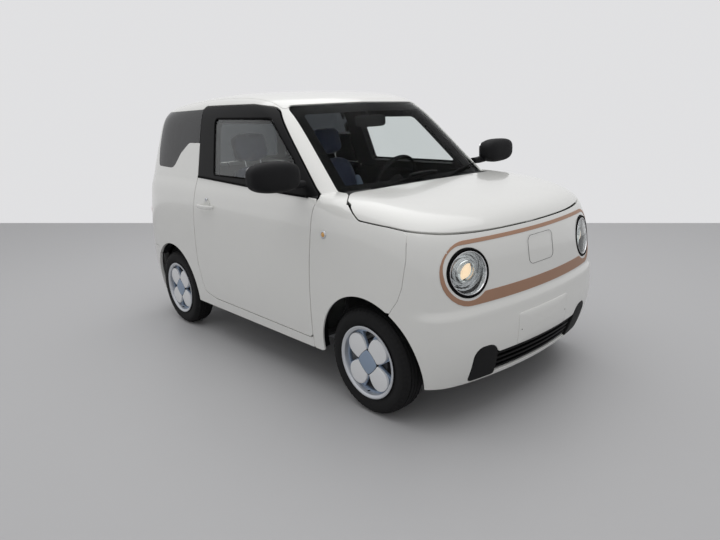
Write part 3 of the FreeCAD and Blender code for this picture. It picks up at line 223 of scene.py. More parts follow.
# Straight sides joined by arcs, as one closed line of points
def outlineLine(corners, count=9):
    points = np.array([c[:2] for c in corners])
    line = []
    for i, (a, b, radius) in enumerate(corners):
        here = points[i]
        back, ahead = points[i - 1] - here, points[(i + 1) % len(points)] - here
        lengthBack, lengthAhead = np.linalg.norm(back), np.linalg.norm(ahead)
        back, ahead = back / lengthBack, ahead / lengthAhead
        half = math.acos(np.clip(back @ ahead, -1, 1)) / 2
        reach = min(radius / math.tan(half), lengthBack * 0.48, lengthAhead * 0.48)
        bend = reach * math.tan(half)
        towards = (back + ahead) / np.linalg.norm(back + ahead)
        centre = here + towards * bend / math.sin(half)
        start, end = here + back * reach - centre, here + ahead * reach - centre
        share = np.linspace(0, 1, count)[:, None]
        arc = start * (1 - share) + end * share
        line.append(centre + arc / np.linalg.norm(arc, axis=1, keepdims=True) * bend)
    line = np.concatenate(line)
    return line[np.linalg.norm(line - np.roll(line, -1, 0), axis=1) > 1e-6]


# Distance inside a closed line: to its nearest segment, positive where a ray crosses it oddly
def insideLine(a, b, line):
    best = np.full(a.shape, 9.0)
    odd = np.zeros(a.shape, bool)
    for p, q in zip(line, np.roll(line, -1, 0)):
        d = q - p
        t = np.clip(((a - p[0]) * d[0] + (b - p[1]) * d[1]) / (d @ d), 0, 1)
        best = np.minimum(best, np.hypot(a - p[0] - t * d[0], b - p[1] - t * d[1]))
        if d[1]:
            odd ^= ((p[1] > b) != (q[1] > b)) & (a < p[0] + (b - p[1]) * d[0] / d[1])
    return np.where(odd, best, -best)


# An outline given in shares of the car's size, as a distance inside it in one view
def shape(view, shares, amount=0.0):
    scales = {"side": (carLength, carHeight), "front": (carWidth, carHeight), "plan": (carWidth, carLength)}
    scale = scales[view]
    corners = [(a * scale[0], b * scale[1], r * carHeight) for a, b, r in shares]
    line = outlineLine(grownCorners(corners, amount))
    axes = {"side": (1, 2), "front": (0, 2), "plan": (0, 1)}[view]
    return lambda p: insideLine(p[:, axes[0]], p[:, axes[1]], line)


outlines = {
    "door": [(-0.2013, 0.1838, 0.016), (-0.2095, 0.4175, 0.2), (-0.2150, 0.5350, 0.2),
             (-0.2165, 0.6450, 0.004), (-0.2005, 0.6705, 0.03), (-0.0610, 0.9290, 0.085),
             (0.0085, 0.9450, 0.1), (0.1964, 0.9525, 0.016), (0.1837, 0.6813, 0.05),
             (0.1948, 0.5375, 0.1), (0.1954, 0.3250, 0.1), (0.1834, 0.2063, 0.025),
             (0.1387, 0.1894, 0.025)],
    "window": [(0.1190, 0.6900, 0.014), (0.1390, 0.9070, 0.022), (-0.0590, 0.8970, 0.04),
               (-0.1400, 0.7610, 0.04), (-0.1720, 0.6810, 0.015)],
    "quarter": [(0.1800, 0.8119, 0.001), (0.2398, 0.8131, 0.04), (0.2757, 0.7706, 0.06),
                (0.3050, 0.7080, 0.06), (0.3856, 0.7138, 0.02), (0.3944, 0.7875, 0.06),
                (0.3905, 0.9420, 0.03), (0.1800, 0.9420, 0.001)],
    "hoodSide": [(-0.56, 0.5640, 0.001), (-0.4700, 0.5650, 0.1), (-0.4380, 0.5780, 0.15),
                 (-0.3857, 0.5920, 0.1), (-0.326, 0.6010, 0.04), (-0.3030, 0.6270, 0.03),
                 (-0.2950, 0.6400, 0.01), (-0.20, 0.6400, 0.001), (-0.20, 0.80, 0.001),
                 (-0.56, 0.80, 0.001)],
    "hoodPlan": [(0.3, -0.56, 0.001), (0.3, -0.2735, 0.001), (-0.296, -0.2685, 0.05),
                 (-0.388, -0.2605, 0.05), (-0.476, -0.3000, 0.03), (-0.56, -0.3000, 0.001),
                 (-0.56, -0.56, 0.001)],
    "bumper": [(-0.56, 0.10, 0.001), (-0.345, 0.10, 0.001), (-0.3850, 0.3281, 0.05),
               (-0.4085, 0.3920, 0.05), (-0.4155, 0.4300, 0.05), (-0.4205, 0.5100, 0.10),
               (-0.4155, 0.5869, 0.05), (-0.4135, 0.70, 0.001), (-0.56, 0.70, 0.001)],
    "screen": [(0.3, 0.644, 0.001), (-0.3916, 0.644, 0.02), (-0.3390, 0.9356, 0.025),
               (0.3, 0.9440, 0.001)],
    "hatch": [(0.3, 0.3500, 0.001), (-0.330, 0.3500, 0.03), (-0.352, 0.50, 0.04),
              (-0.365, 0.655, 0.06), (-0.345, 1.02, 0.01), (0.3, 1.02, 0.001)],
    "hatchGlass": [(0.3, 0.690, 0.001), (-0.325, 0.690, 0.03), (-0.300, 0.9200, 0.03),
                   (0.3, 0.9260, 0.001)],
}


# Distances inside two shapes at once (the least), a shape less others, and one side of a plane
def both(*insides):
    return lambda p: np.minimum.reduce([inside(p) for inside in insides])


def without(inside, *cuts):
    return lambda p: np.minimum.reduce([inside(p)] + [-cut(p) for cut in cuts])


def beyond(axis, value, side=1):
    return lambda p: (p[:, axis] - value) * side


arch = {"radius": 0.318, "height": 0.283, "front": -1.0245, "rear": 0.9905}


# Distance inside a circle round an axle, in side view
def wheelArch(y):
    return lambda p: arch["radius"] - np.hypot(p[:, 1] - y, p[:, 2] - arch["height"])


# How far a point is inside the glasshouse, from its section at the point's own height
def inCabin(p, margin=0.0):
    f = form
    x, y, z = np.abs(p[:, 0]), p[:, 1], p[:, 2]
    half = f["glassHalf"] - f["tumble"] * (z - f["glassBase"])
    across = x / half
    rise = z - f["screenHeight"]
    front = f["cabinMiddle"] - f["screenBase"] - f["screenRake"] * rise - f["screenBow"] * across ** 2
    rear = f["hatchBase"] - f["hatchRake"] * rise - f["cabinMiddle"] - f["hatchBow"] * across ** 2
    along = np.where(y < f["cabinMiddle"], (f["cabinMiddle"] - y) / front, (y - f["cabinMiddle"]) / rear)
    power = np.where(y < f["cabinMiddle"], f["cabinPower"], f["cabinRearPower"])
    inner = (1 - (across ** power + np.abs(along) ** power) ** (1 / power)) * half - margin
    return np.minimum(inner, z - f["glassLow"])


# How far a point is above the shoulder of the lower body
def aboveShoulder(p, margin=0.0):
    f = form
    x, y, z = np.abs(p[:, 0]), p[:, 1], p[:, 2]
    half = carWidth / 2 - f["sideTurn"] * (np.abs(z - f["waist"]) / f["sideReach"]) ** 2
    reach = carLength / 2 - f["tailLean"] * (np.maximum(0, z - f["bumperHeight"]) / f["leanReach"]) ** 1.5
    out = np.maximum(x / half, (np.abs(y) - f["hoodSpine"]) / (reach - f["hoodSpine"]))
    up = (1 - np.clip(out, 0, 1) ** f["shoulderPower"]) ** (1 / f["shoulderPower"])
    return z - f["skirt"] - (lowerTop(x, y) - f["skirt"]) * up - margin


# Panels
panelCell = 0.0165


# The angles of a skin's grid, about one cell apart along its waist and its middle
def lattice(place, middleRise):
    turns = evenAngles(lambda t: place(t, np.full_like(t, middleRise)), math.pi, panelCell)
    rises = evenAngles(lambda r: place(np.full_like(r, math.pi / 2), r), math.pi / 2, panelCell)
    return turns, rises


lowerAngles, cabinAngles = lattice(lowerPoint, 0.45), lattice(cabinPoint, 0.4)
lattices = {"lower": (lowerPoint, *lowerAngles), "front": (nosePoint, *lowerAngles),
            "side": (sidePoint, *lowerAngles), "cabin": (cabinPoint, *cabinAngles)}


# Moves points along a skin until the inside function has the wanted value: Newton steps in
# (turn, rise), each the shortest on the skin that mends the difference
def ontoEdge(place, inside, turn, rise, wanted):
    step = 1e-4
    for again in range(3):
        here = place(turn, rise)
        alongTurn = (place(turn + step, rise) - here) / step
        alongRise = (place(turn, rise + step) - here) / step
        value = inside(here)
        slopeTurn = (inside(here + alongTurn * step) - value) / step
        slopeRise = (inside(here + alongRise * step) - value) / step
        tt = np.sum(alongTurn ** 2, 1)
        rr = np.sum(alongRise ** 2, 1)
        tr = np.sum(alongTurn * alongRise, 1)
        det = np.maximum(tt * rr - tr ** 2, 1e-12)
        moveTurn = (rr * slopeTurn - tr * slopeRise) / det
        moveRise = (tt * slopeRise - tr * slopeTurn) / det
        fall = slopeTurn * moveTurn + slopeRise * moveRise
        share = np.clip((wanted - value) / np.maximum(fall, 1e-9), -panelCell, panelCell)
        turn = np.clip(turn + share * moveTurn, 0, math.pi)
        rise = np.clip(rise + share * moveRise, 0, math.pi / 2)
    return turn, rise


# The part of a skin where the inside function is above a value: the lattice of (turn, rise),
# its points near the edge slid onto it, and its triangles clipped along it
def clippedSkin(kind, inside, value):
    place, turns, rises = lattices[kind]
    turn, rise = [a.ravel() for a in np.meshgrid(turns, rises, indexing="ij")]
    far = inside(place(turn, rise)) - value
    reach = 0.1 if kind in ("nose", "tail") else 0.25
    near = np.abs(far) < reach * panelCell
    inner = near & (turn > 0) & (turn < math.pi) & (rise < math.pi / 2) & (rise > 0)
    turn[inner], rise[inner] = ontoEdge(place, inside, turn[inner], rise[inner], value)
    far[inner] = 0
    count = len(rises)
    i, j = [a.ravel() for a in np.meshgrid(np.arange(len(turns) - 1), np.arange(count - 1), indexing="ij")]
    a, b, c, d = i * count + j, (i + 1) * count + j, (i + 1) * count + j + 1, i * count + j + 1
    odd = ((i + j) % 2).astype(bool)
    faces = np.concatenate([
        np.stack([a, d, c], 1)[odd], np.stack([a, c, b], 1)[odd],
        np.stack([a, d, b], 1)[~odd], np.stack([b, d, c], 1)[~odd],
    ])
    signs = far[faces]
    low = np.sum(signs < 0, 1)
    some = np.any(signs > 0, 1)
    whole = faces[(low == 0) & some]
    mixed = faces[(low > 0) & some]
    signs = far[mixed]
    low = np.sum(signs < 0, 1)
    lone = np.where(low == 1, np.argmax(signs < 0, 1), np.argmax(signs > 0, 1))
    mixed = mixed[np.arange(len(mixed))[:, None], (lone[:, None] + np.arange(3)) % 3]
    edges = np.concatenate([mixed[:, [0, 1]], mixed[:, [0, 2]]])
    ordered = np.sort(edges, 1)
    crossing = far[ordered[:, 0]] * far[ordered[:, 1]] < 0
    unique, back = np.unique(ordered[crossing], axis=0, return_inverse=True)
    share = far[unique[:, 0]] / (far[unique[:, 0]] - far[unique[:, 1]])
    newTurn = turn[unique[:, 0]] * (1 - share) + turn[unique[:, 1]] * share
    newRise = rise[unique[:, 0]] * (1 - share) + rise[unique[:, 1]] * share
    newTurn, newRise = ontoEdge(place, inside, newTurn, newRise, value)
    onZero = np.where(far[edges[:, 0]] == 0, edges[:, 0], edges[:, 1])
    ids = onZero.copy()
    ids[crossing] = len(turn) + back.ravel()
    ab, ac = ids[:len(mixed)], ids[len(mixed):]
    oneLow = np.sum(far[mixed] < 0, 1) == 1
    m = mixed
    corner = m[~oneLow]
    pieces = [
        whole,
        np.stack([m[oneLow, 1], m[oneLow, 2], ac[oneLow]], 1),
        np.stack([m[oneLow, 1], ac[oneLow], ab[oneLow]], 1),
        np.stack([corner[:, 0], ab[~oneLow], ac[~oneLow]], 1),
    ]
    faces = np.concatenate(pieces)
    turn, rise = np.concatenate([turn, newTurn]), np.concatenate([rise, newRise])
    distinct = (faces[:, 0] != faces[:, 1]) & (faces[:, 1] != faces[:, 2]) & (faces[:, 0] != faces[:, 2])
    faces = faces[distinct]
    used, back = np.unique(faces, return_inverse=True)
    return turn[used], rise[used], back.reshape(faces.shape)


# A mesh from points, triangles and quads, with its own corner normals where they are given
def makeMesh(name, points, triangles, quads, normals=None):
    triangles = np.asarray(triangles, dtype=np.int64).reshape(-1, 3)
    quads = np.asarray(quads, dtype=np.int64).reshape(-1, 4)
    mesh = bpy.data.meshes.new(name)
    mesh.vertices.add(len(points))
    mesh.vertices.foreach_set("co", np.asarray(points, dtype=np.float32).ravel())
    loops = np.concatenate([triangles.ravel(), quads.ravel()])
    mesh.loops.add(len(loops))
    mesh.loops.foreach_set("vertex_index", loops.astype(np.int32))
    starts = np.concatenate([np.arange(len(triangles)) * 3, len(triangles) * 3 + np.arange(len(quads)) * 4])
    mesh.polygons.add(len(starts))
    mesh.polygons.foreach_set("loop_start", starts.astype(np.int32))
    mesh.update(calc_edges=True)
    mesh.shade_smooth()
    if normals is not None:
        mesh.normals_split_custom_set(normals)
    thing = bpy.data.objects.new(name, mesh)
    bpy.context.scene.collection.objects.link(thing)
    return thing


# A piece's material and body, and the CAD nodes that it stands for
def finish(thing, body, look, slot, *replaced):
    thing.data.materials.clear()
    thing.data.materials.append(finishes[look])
    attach(thing, body)
    if replaced:
        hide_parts(*replaced)
    return thing


flipX = np.array([-1.0, 1.0, 1.0])


# Directed edges that only one face uses
def openEdges(faces, count):
    edges = np.concatenate([faces[:, [0, 1]], faces[:, [1, 2]], faces[:, [2, 0]]])
    keys = edges[:, 0] * count + edges[:, 1]
    return edges[~np.isin(keys, edges[:, 1] * count + edges[:, 0])]


# A closed panel: the skin inside an outline, its edge rolled round a small radius, a wall down
# to the inner skin and that skin turned over
def panelArrays(kind, inside, depth, thick, roll, middle):
    place = lattices[kind][0]
    turn, rise, faces = clippedSkin(kind, inside, roll)
    outer, inner = place(turn, rise, depth), place(turn, rise, depth + thick)
    normal = skinNormal(place, turn, rise, depth)
    if middle:
        count = len(outer)
        onLine = np.abs(outer[:, 0]) < 1e-6
        normal[onLine, 0] = 0
        normal[onLine] /= np.linalg.norm(normal[onLine], axis=1, keepdims=True)
        faces = faces[~onLine[faces].all(1)]
        mirrorFaces = np.where(onLine, np.arange(count), np.arange(count) + count)[faces[:, ::-1]]
        faces = np.concatenate([faces, mirrorFaces])
        outer, inner, normal = [np.concatenate([a, a * flipX]) for a in (outer, inner, normal)]
    count = len(outer)
    edges = openEdges(faces, count)
    rim, back = np.unique(edges, return_inverse=True)
    back = back.reshape(edges.shape)
    along = outer[edges[:, 1]] - outer[edges[:, 0]]
    along /= np.maximum(np.linalg.norm(along, axis=1, keepdims=True), 1e-9)
    tangent = np.zeros((len(rim), 3))
    np.add.at(tangent, back[:, 0], along)
    np.add.at(tangent, back[:, 1], along)
    mitre = 1 / np.clip(np.linalg.norm(tangent, axis=1, keepdims=True) / 2, 0.7, 1)
    side = np.cross(tangent, normal[rim])
    side /= np.maximum(np.linalg.norm(side, axis=1, keepdims=True), 1e-9)
    points, rows, normals = [outer], [rim], [normal[rim]]
    total = count
    for bend in np.radians([30, 60, 90]):
        out, down = side * mitre * roll * np.sin(bend), normal[rim] * roll * (1 - np.cos(bend))
        points.append(outer[rim] + out - down)
        rows.append(total + np.arange(len(rim)))
        normals.append(side * np.sin(bend) + normal[rim] * np.cos(bend))
        total += len(rim)
    points.append(outer[rim] + side * mitre * roll - normal[rim] * thick)
    rows.append(total + np.arange(len(rim)))
    normals.append(side)
    total += len(rim)
    points.append(inner)
    rows.append(total + rim)
    start, end = back[:, 0], back[:, 1]
    quads, quadNormals = [], []
    for k in range(len(rows) - 1):
        near, far = rows[k], rows[k + 1]
        quads.append(np.stack([near[end], near[start], far[start], far[end]], 1))
        a = normals[k] if k < len(rows) - 2 else -normal[rim]
        b = normals[k + 1] if k < len(rows) - 2 else -normal[rim]
        quadNormals.append(np.stack([a[end], a[start], b[start], b[end]], 1))
    triangles = np.concatenate([faces, faces[:, ::-1] + total])
    triNormals = np.concatenate([normal[faces], -normal[faces[:, ::-1]]])
    quads = np.concatenate(quads)
    cornerNormals = np.concatenate([triNormals.reshape(-1, 3), np.concatenate(quadNormals).reshape(-1, 3)])
    return np.concatenate(points), triangles, quads, cornerNormals


# The same panel with x turned over and its faces wound the other way
def mirroredArrays(points, triangles, quads, normals):
    triNormals = normals[:triangles.size].reshape(-1, 3, 3)[:, ::-1].reshape(-1, 3)
    quadNormals = normals[triangles.size:].reshape(-1, 4, 3)[:, ::-1].reshape(-1, 3)
    return (points * flipX, triangles[:, ::-1], quads[:, ::-1],
            np.concatenate([triNormals, quadNormals]) * flipX)


# Several panels' arrays as one, their indices moved on by the points before
def joinedArrays(groups):
    points, triangles, quads, triNormals, quadNormals = [], [], [], [], []
    total = 0
    for p, t, q, n in groups:
        points.append(p)
        triangles.append(t + total)
        quads.append(q + total)
        triNormals.append(n[:t.size])
        quadNormals.append(n[t.size:])
        total += len(p)
    return (np.concatenate(points), np.concatenate(triangles), np.concatenate(quads),
            np.concatenate(triNormals + quadNormals))


# Sheets are (kind, inside, depth, thick, roll). A middle panel is whole, any other comes as a pair,
# and {} in a body or node stands for its side
def panel(name, sheets, look, slot, body, replaced=(), middle=False):
    groups = [panelArrays(*sheet, middle) for sheet in sheets]
    if middle:
        finish(makeMesh(name, *joinedArrays(groups)), body, look, slot, *replaced)
        return
    for hand, arrays in (("Right", groups), ("Left", [mirroredArrays(*g) for g in groups])):
        thing = makeMesh(name + hand, *joinedArrays(arrays))
        finish(thing, body.format(hand.lower()), look, slot,
               *[node.format(hand.lower()) for node in replaced])


# Shader groups
# A node group with named inputs and outputs
def newGroup(name, inputs, outputs):
    group = bpy.data.node_groups.new(name, "ShaderNodeTree")
    for socketName, socketType, value in inputs:
        socket = group.interface.new_socket(name=socketName, in_out="INPUT", socket_type=socketType)
        socket.default_value = value
    for socketName, socketType in outputs:
        group.interface.new_socket(name=socketName, in_out="OUTPUT", socket_type=socketType)
    return group, group.nodes.new("NodeGroupInput"), group.nodes.new("NodeGroupOutput")


def link(tree, source, target):
    tree.links.new(source, target)


def noiseNode(tree, scale, detail=3.0, rough=0.5):
    node = tree.nodes.new("ShaderNodeTexNoise")
    node.inputs["Scale"].default_value = scale
    node.inputs["Detail"].default_value = detail
    node.inputs["Roughness"].default_value = rough
    return node


def mathNode(tree, operation, a, b=None):
    node = tree.nodes.new("ShaderNodeMath")
    node.operation = operation
    for socket, value in zip(node.inputs, (a, b)):
        if value is None:
            continue
        if isinstance(value, (int, float)):
            socket.default_value = value
        else:
            link(tree, value, socket)
    return node.outputs[0]


# Fine grain: two sizes of noise, as a bump normal, a mask and a mottled colour
def buildGrain():
    group, into, out = newGroup("grain", [
        ("Colour", "NodeSocketColor", (0.5, 0.5, 0.5, 1)), ("Scale", "NodeSocketFloat", 300.0),
        ("Depth", "NodeSocketFloat", 0.1), ("Mottle", "NodeSocketFloat", 0.1),
    ], [("Colour", "NodeSocketColor"), ("Mask", "NodeSocketFloat"), ("Normal", "NodeSocketVector")])
    place = group.nodes.new("ShaderNodeTexCoord")
    fine, broad = noiseNode(group, 300, 2), noiseNode(group, 7, 4, 0.6)
    link(group, place.outputs["Object"], fine.inputs["Vector"])
    link(group, place.outputs["Object"], broad.inputs["Vector"])
    link(group, into.outputs["Scale"], fine.inputs["Scale"])
    bump = group.nodes.new("ShaderNodeBump")
    bump.inputs["Distance"].default_value = 0.001
    link(group, into.outputs["Depth"], bump.inputs["Strength"])
    link(group, fine.outputs["Fac"], bump.inputs["Height"])
    offset = mathNode(group, "SUBTRACT", broad.outputs["Fac"], 0.5)
    share = mathNode(group, "MULTIPLY", offset, into.outputs["Mottle"])
    bright = mathNode(group, "ADD", 1.0, share)
    tint = group.nodes.new("ShaderNodeVectorMath")
    tint.operation = "SCALE"
    link(group, into.outputs["Colour"], tint.inputs[0])
    link(group, bright, tint.inputs["Scale"])
    link(group, tint.outputs[0], out.inputs["Colour"])
    link(group, broad.outputs["Fac"], out.inputs["Mask"])
    link(group, bump.outputs[0], out.inputs["Normal"])
    return group


# Woven cloth: two crossed waves of thread from the piece's own position, with a little fuzz; the colour is
# darker where the threads dip, as painted shade in the weave's hollows, and varies with the fuzz as random
# tone
def buildWeave():
    group, into, out = newGroup("weave", [
        ("Colour", "NodeSocketColor", (0.5, 0.5, 0.5, 1)), ("Thread", "NodeSocketFloat", 900.0),
        ("Depth", "NodeSocketFloat", 0.4),
    ], [("Colour", "NodeSocketColor"), ("Normal", "NodeSocketVector")])
    place = group.nodes.new("ShaderNodeTexCoord")
    parts = group.nodes.new("ShaderNodeSeparateXYZ")
    link(group, place.outputs["Object"], parts.inputs[0])
    threads = []
    for axis, other in (("X", "Y"), ("Z", "Y")):
        slant = mathNode(group, "MULTIPLY", parts.outputs[other], 0.7)
        turned = mathNode(group, "ADD", parts.outputs[axis], slant)
        threads.append(mathNode(group, "SINE", mathNode(group, "MULTIPLY", turned, into.outputs["Thread"])))
    height = mathNode(group, "MULTIPLY", threads[0], threads[1])
    fuzz = noiseNode(group, 600, 2)
    link(group, place.outputs["Object"], fuzz.inputs["Vector"])
    height = mathNode(group, "ADD", height, fuzz.outputs["Fac"])
    bump = group.nodes.new("ShaderNodeBump")
    bump.inputs["Distance"].default_value = 0.0006
    link(group, into.outputs["Depth"], bump.inputs["Strength"])
    link(group, height, bump.inputs["Height"])
    # Painted shade: the colour darkens with the thread height, in the hollows between threads, and the fuzz
    # adds random tone
    hollowShade = mathNode(group, "MULTIPLY_ADD", height, 0.12)
    tint = group.nodes.new("ShaderNodeVectorMath")
    tint.operation = "SCALE"
    link(group, into.outputs["Colour"], tint.inputs[0])
    link(group, mathNode(group, "ADD", hollowShade, 0.85), tint.inputs["Scale"])
    link(group, tint.outputs[0], out.inputs["Colour"])
    link(group, bump.outputs[0], out.inputs["Normal"])
    return group


grainGroup = buildGrain()
weaveGroup = buildWeave()


def newMaterial(name):
    material = bpy.data.materials.new(name)
    material.use_nodes = True
    return material, material.node_tree, material.node_tree.nodes["Principled BSDF"]


# A material whose colour, roughness and bump come from the grain group
def grained(name, colour, rough, scale=300.0, depth=0.1, mottle=0.06, roughSpread=0.08, **sockets):
    material, tree, shader = newMaterial(name)
    group = tree.nodes.new("ShaderNodeGroup")
    group.node_tree = grainGroup
    group.inputs["Colour"].default_value = (*colour, 1)
    group.inputs["Scale"].default_value = scale
    group.inputs["Depth"].default_value = depth
    group.inputs["Mottle"].default_value = mottle
    link(tree, group.outputs["Colour"], shader.inputs["Base Color"])
    link(tree, group.outputs["Normal"], shader.inputs["Normal"])
    level = mathNode(tree, "MULTIPLY_ADD", group.outputs["Mask"], roughSpread)
    level.node.inputs[2].default_value = rough - roughSpread / 2
    link(tree, level, shader.inputs["Roughness"])
    for socket, value in sockets.items():
        shader.inputs[socket.replace("_", " ")].default_value = value
    return material


# A material whose colour and bump come from the weave group
def woven(name, colour, thread=900.0, depth=0.4):
    material, tree, shader = newMaterial(name)
    group = tree.nodes.new("ShaderNodeGroup")
    group.node_tree = weaveGroup
    group.inputs["Colour"].default_value = (*colour, 1)
    group.inputs["Thread"].default_value = thread
    group.inputs["Depth"].default_value = depth
    link(tree, group.outputs["Colour"], shader.inputs["Base Color"])
    link(tree, group.outputs["Normal"], shader.inputs["Normal"])
    shader.inputs["Roughness"].default_value = 0.85
    shader.inputs["Sheen Weight"].default_value = 0.3
    return material


# Clear or tinted glass with a faint smear in its roughness
def glazed(name, colour, rough=0.0, ior=1.45, transmission=1.0):
    material, tree, shader = newMaterial(name)
    smear = noiseNode(tree, 5, 3)
    place = tree.nodes.new("ShaderNodeTexCoord")
    link(tree, place.outputs["Object"], smear.inputs["Vector"])
    level = mathNode(tree, "MULTIPLY", smear.outputs["Fac"], 0.03)
    link(tree, mathNode(tree, "ADD", level, rough), shader.inputs["Roughness"])
    shader.inputs["Base Color"].default_value = (*colour, 1)
    shader.inputs["Transmission Weight"].default_value = transmission
    shader.inputs["IOR"].default_value = ior
    return material


finishes = {
    "paint": grained("whitePaint", (0.82, 0.82, 0.79), 0.24, scale=900, depth=0.012, mottle=0.015,
                     roughSpread=0.06, Coat_Weight=0.7, Coat_Roughness=0.06),
    "blackTrim": grained("blackTrim", (0.008, 0.008, 0.0085), 0.4, scale=700, depth=0.05, mottle=0.3,
                         Specular_IOR_Level=0.1),
    "cowlPlastic": grained("cowlPlastic", (0.009, 0.009, 0.0095), 0.65, scale=900, depth=0.3, mottle=0.3,
                           Specular_IOR_Level=0.2),
    "mirrorPlastic": grained("mirrorPlastic", (0.010, 0.010, 0.011), 0.6, scale=1100, depth=0.45,
                             mottle=0.2, Specular_IOR_Level=0.15),
    "copper": grained("copperRing", (0.42, 0.25, 0.17), 0.42, scale=500, depth=0.04, mottle=0.06,
                      Metallic=0.75),
    "interior": grained("cabinPlastic", (0.009, 0.009, 0.01), 0.7, scale=600, depth=0.3, mottle=0.2,
                        Specular_IOR_Level=0.08),
    "navy": woven("navyFabric", (0.035, 0.045, 0.09)),
    "paleBlue": woven("paleBlueFabric", (0.22, 0.28, 0.38)),
    "seal": grained("windowSeal", (0.004, 0.004, 0.004), 0.6, scale=900, depth=0.1, mottle=0.2,
                    Specular_IOR_Level=0.04),
    "rubber": grained("tyreRubber", (0.007, 0.007, 0.0075), 0.75, scale=420, depth=0.25, mottle=0.35,
                      Specular_IOR_Level=0.25),
    "silver": grained("silverPaint", (0.62, 0.64, 0.67), 0.35, scale=800, depth=0.03, mottle=0.05,
                      Metallic=0.6),
    "whiteRim": grained("whiteWheelPaint", (0.80, 0.81, 0.82), 0.3, scale=800, depth=0.02, mottle=0.03,
                        Coat_Weight=0.4),
    "blueRim": grained("blueGreyWheelPaint", (0.30, 0.38, 0.50), 0.4, scale=700, depth=0.03, mottle=0.08,
                       Metallic=0.3),
    "chrome": grained("chromeRing", (0.78, 0.78, 0.79), 0.09, scale=300, depth=0.005, mottle=0.04,
                      roughSpread=0.04, Metallic=1.0),
    "steel": grained("bareSteel", (0.3, 0.3, 0.31), 0.45, scale=300, depth=0.15, mottle=0.3, Metallic=0.9),
    "casting": grained("castMetal", (0.09, 0.09, 0.095), 0.6, scale=250, depth=0.5, mottle=0.5,
                       Metallic=0.5),
    "underbody": grained("underbodyCoat", (0.03, 0.03, 0.03), 0.8, scale=150, depth=0.5, mottle=0.5),
    "block": grained("blockCase", (0.12, 0.125, 0.13), 0.5, scale=300, depth=0.1, mottle=0.2, Metallic=0.4),
    "amber": glazed("amberLens", (0.95, 0.52, 0.16), 0.08, 1.5, 0.2),
    "red": glazed("redLens", (0.75, 0.03, 0.025), 0.06, 1.5, 0.45),
    "clear": glazed("clearGlass", (0.93, 0.96, 0.95)),
    "screen": glazed("screenGlass", (0.90, 0.92, 0.915), ior=1.05),
    "tint": glazed("tintedGlass", (0.055, 0.06, 0.065)),
    "sideTint": glazed("sideGlass", (0.84, 0.88, 0.87), ior=1.4),
}
cadFinish = {
    "paint": "paint", "black_trim": "blackTrim", "dark_glass": "tint", "clear_glass": "clear",
    "copper": "copper", "lamp": "chrome", "red_lamp": "red", "mirror_shell": "mirrorPlastic",
    "interior": "interior", "navy_fabric": "navy", "tyre": "rubber", "rim_silver": "silver",
    "steel": "steel", "casting": "casting", "underbody": "underbody", "mass_block": "block",
}
slotOf = {row["node"]: row["material_slot"] for row in frame["record"]["subparts"]}
for name, node in nodes.items():
    node.data.materials.clear()
    node.data.materials.append(finishes[cadFinish[slotOf.get(name, "casting")]])
print("materials ready")


# Body panels
gap = 0.0052
lamp = {"x": 0.495, "z": 0.7365, "yaw": 17, "pitch": 3, "radius": 0.1095}
lampOut = np.array([
    -math.sin(math.radians(lamp["yaw"])) * math.cos(math.radians(lamp["pitch"])),
    -math.cos(math.radians(lamp["yaw"])) * math.cos(math.radians(lamp["pitch"])),
    -math.sin(math.radians(lamp["pitch"])),
])


# Distance inside a circle round the lamp, seen from ahead
def lampRound(radius):
    return lambda p: radius - np.hypot(p[:, 0] + lamp["x"], p[:, 2] - lamp["z"])


lampHole = lampRound(lamp["radius"] + 0.001)
tail = {"x": 0.632, "y": 1.44, "z": 0.8, "radius": 0.068, "yaw": 24}
tailOut = np.array([-math.sin(math.radians(tail["yaw"])), math.cos(math.radians(tail["yaw"])), 0])


# Distance inside a cylinder along the tail lamp's axis
def tailHole(p, grow=0.0003):
    d = p - [-tail["x"], tail["y"], tail["z"]]
    along = d @ tailOut
    return tail["radius"] + grow - np.linalg.norm(d - along[:, None] * tailOut, axis=1)


# Distance inside a rounded outline seen from ahead
def roundedRow(corners):
    line = outlineLine(corners)
    return lambda p: insideLine(p[:, 0], p[:, 2], line)


# The same for a rectangle of a half width, between two heights
def rowBox(half, low, high, bend):
    return roundedRow([(half, low, bend), (-half, low, bend), (-half, high, bend), (half, high, bend)])


frontArch, rearArch = wheelArch(arch["front"]), wheelArch(arch["rear"])
lowFront = beyond(1, -0.2, -1)
hoodIn = both(shape("side", outlines["hoodSide"]), shape("plan", outlines["hoodPlan"]))
hoodCut = both(shape("side", outlines["hoodSide"], gap), shape("plan", outlines["hoodPlan"], gap))
bumperIn = shape("side", outlines["bumper"])
slotIn = rowBox(0.36, 0.221, 0.334, 0.002)
capShape = [(-0.320, 0.203, 0.01), (-0.488, 0.203, 0.03), (-0.491, 0.386, 0.05), (-0.350, 0.386, 0.07)]
capIn = roundedRow(capShape)
doorIn, doorCut = shape("side", outlines["door"]), shape("side", outlines["door"], gap)
doorInner = shape("side", outlines["door"], -0.03)
frameInner = shape("side", outlines["door"], gap - 0.02)
windowIn = shape("side", outlines["window"])
screenIn = shape("front", outlines["screen"])
pillarCut = shape("front", outlines["screen"], 0.025)
hatchIn, hatchCut = shape("front", outlines["hatch"]), shape("front", outlines["hatch"], 0.006)
hatchGlassIn = shape("front", outlines["hatchGlass"])
quarterIn = without(shape("side", outlines["quarter"]), doorCut)
onRight = beyond(0, 0.001, -1)
outsideCabin = lambda p: -inCabin(p, 0.007)
overBelt = lambda p: aboveShoulder(p, -0.012)
roofIn = both(lambda p: 0.54 - np.abs(p[:, 0]), beyond(2, 1.48), beyond(1, 1.2718, -1))
rearZone = both(beyond(1, 1.24), beyond(2, 0.555, -1))
hatchZoneLow = both(hatchCut, beyond(1, 1.394))
hatchZoneHigh = both(hatchCut, beyond(1, 1.237))


# The belt is a straight line in side view: paint ends there on the doors, and the skins change there
def beltLine(y):
    return 1.088 + 0.0461 * (y - 0.565)


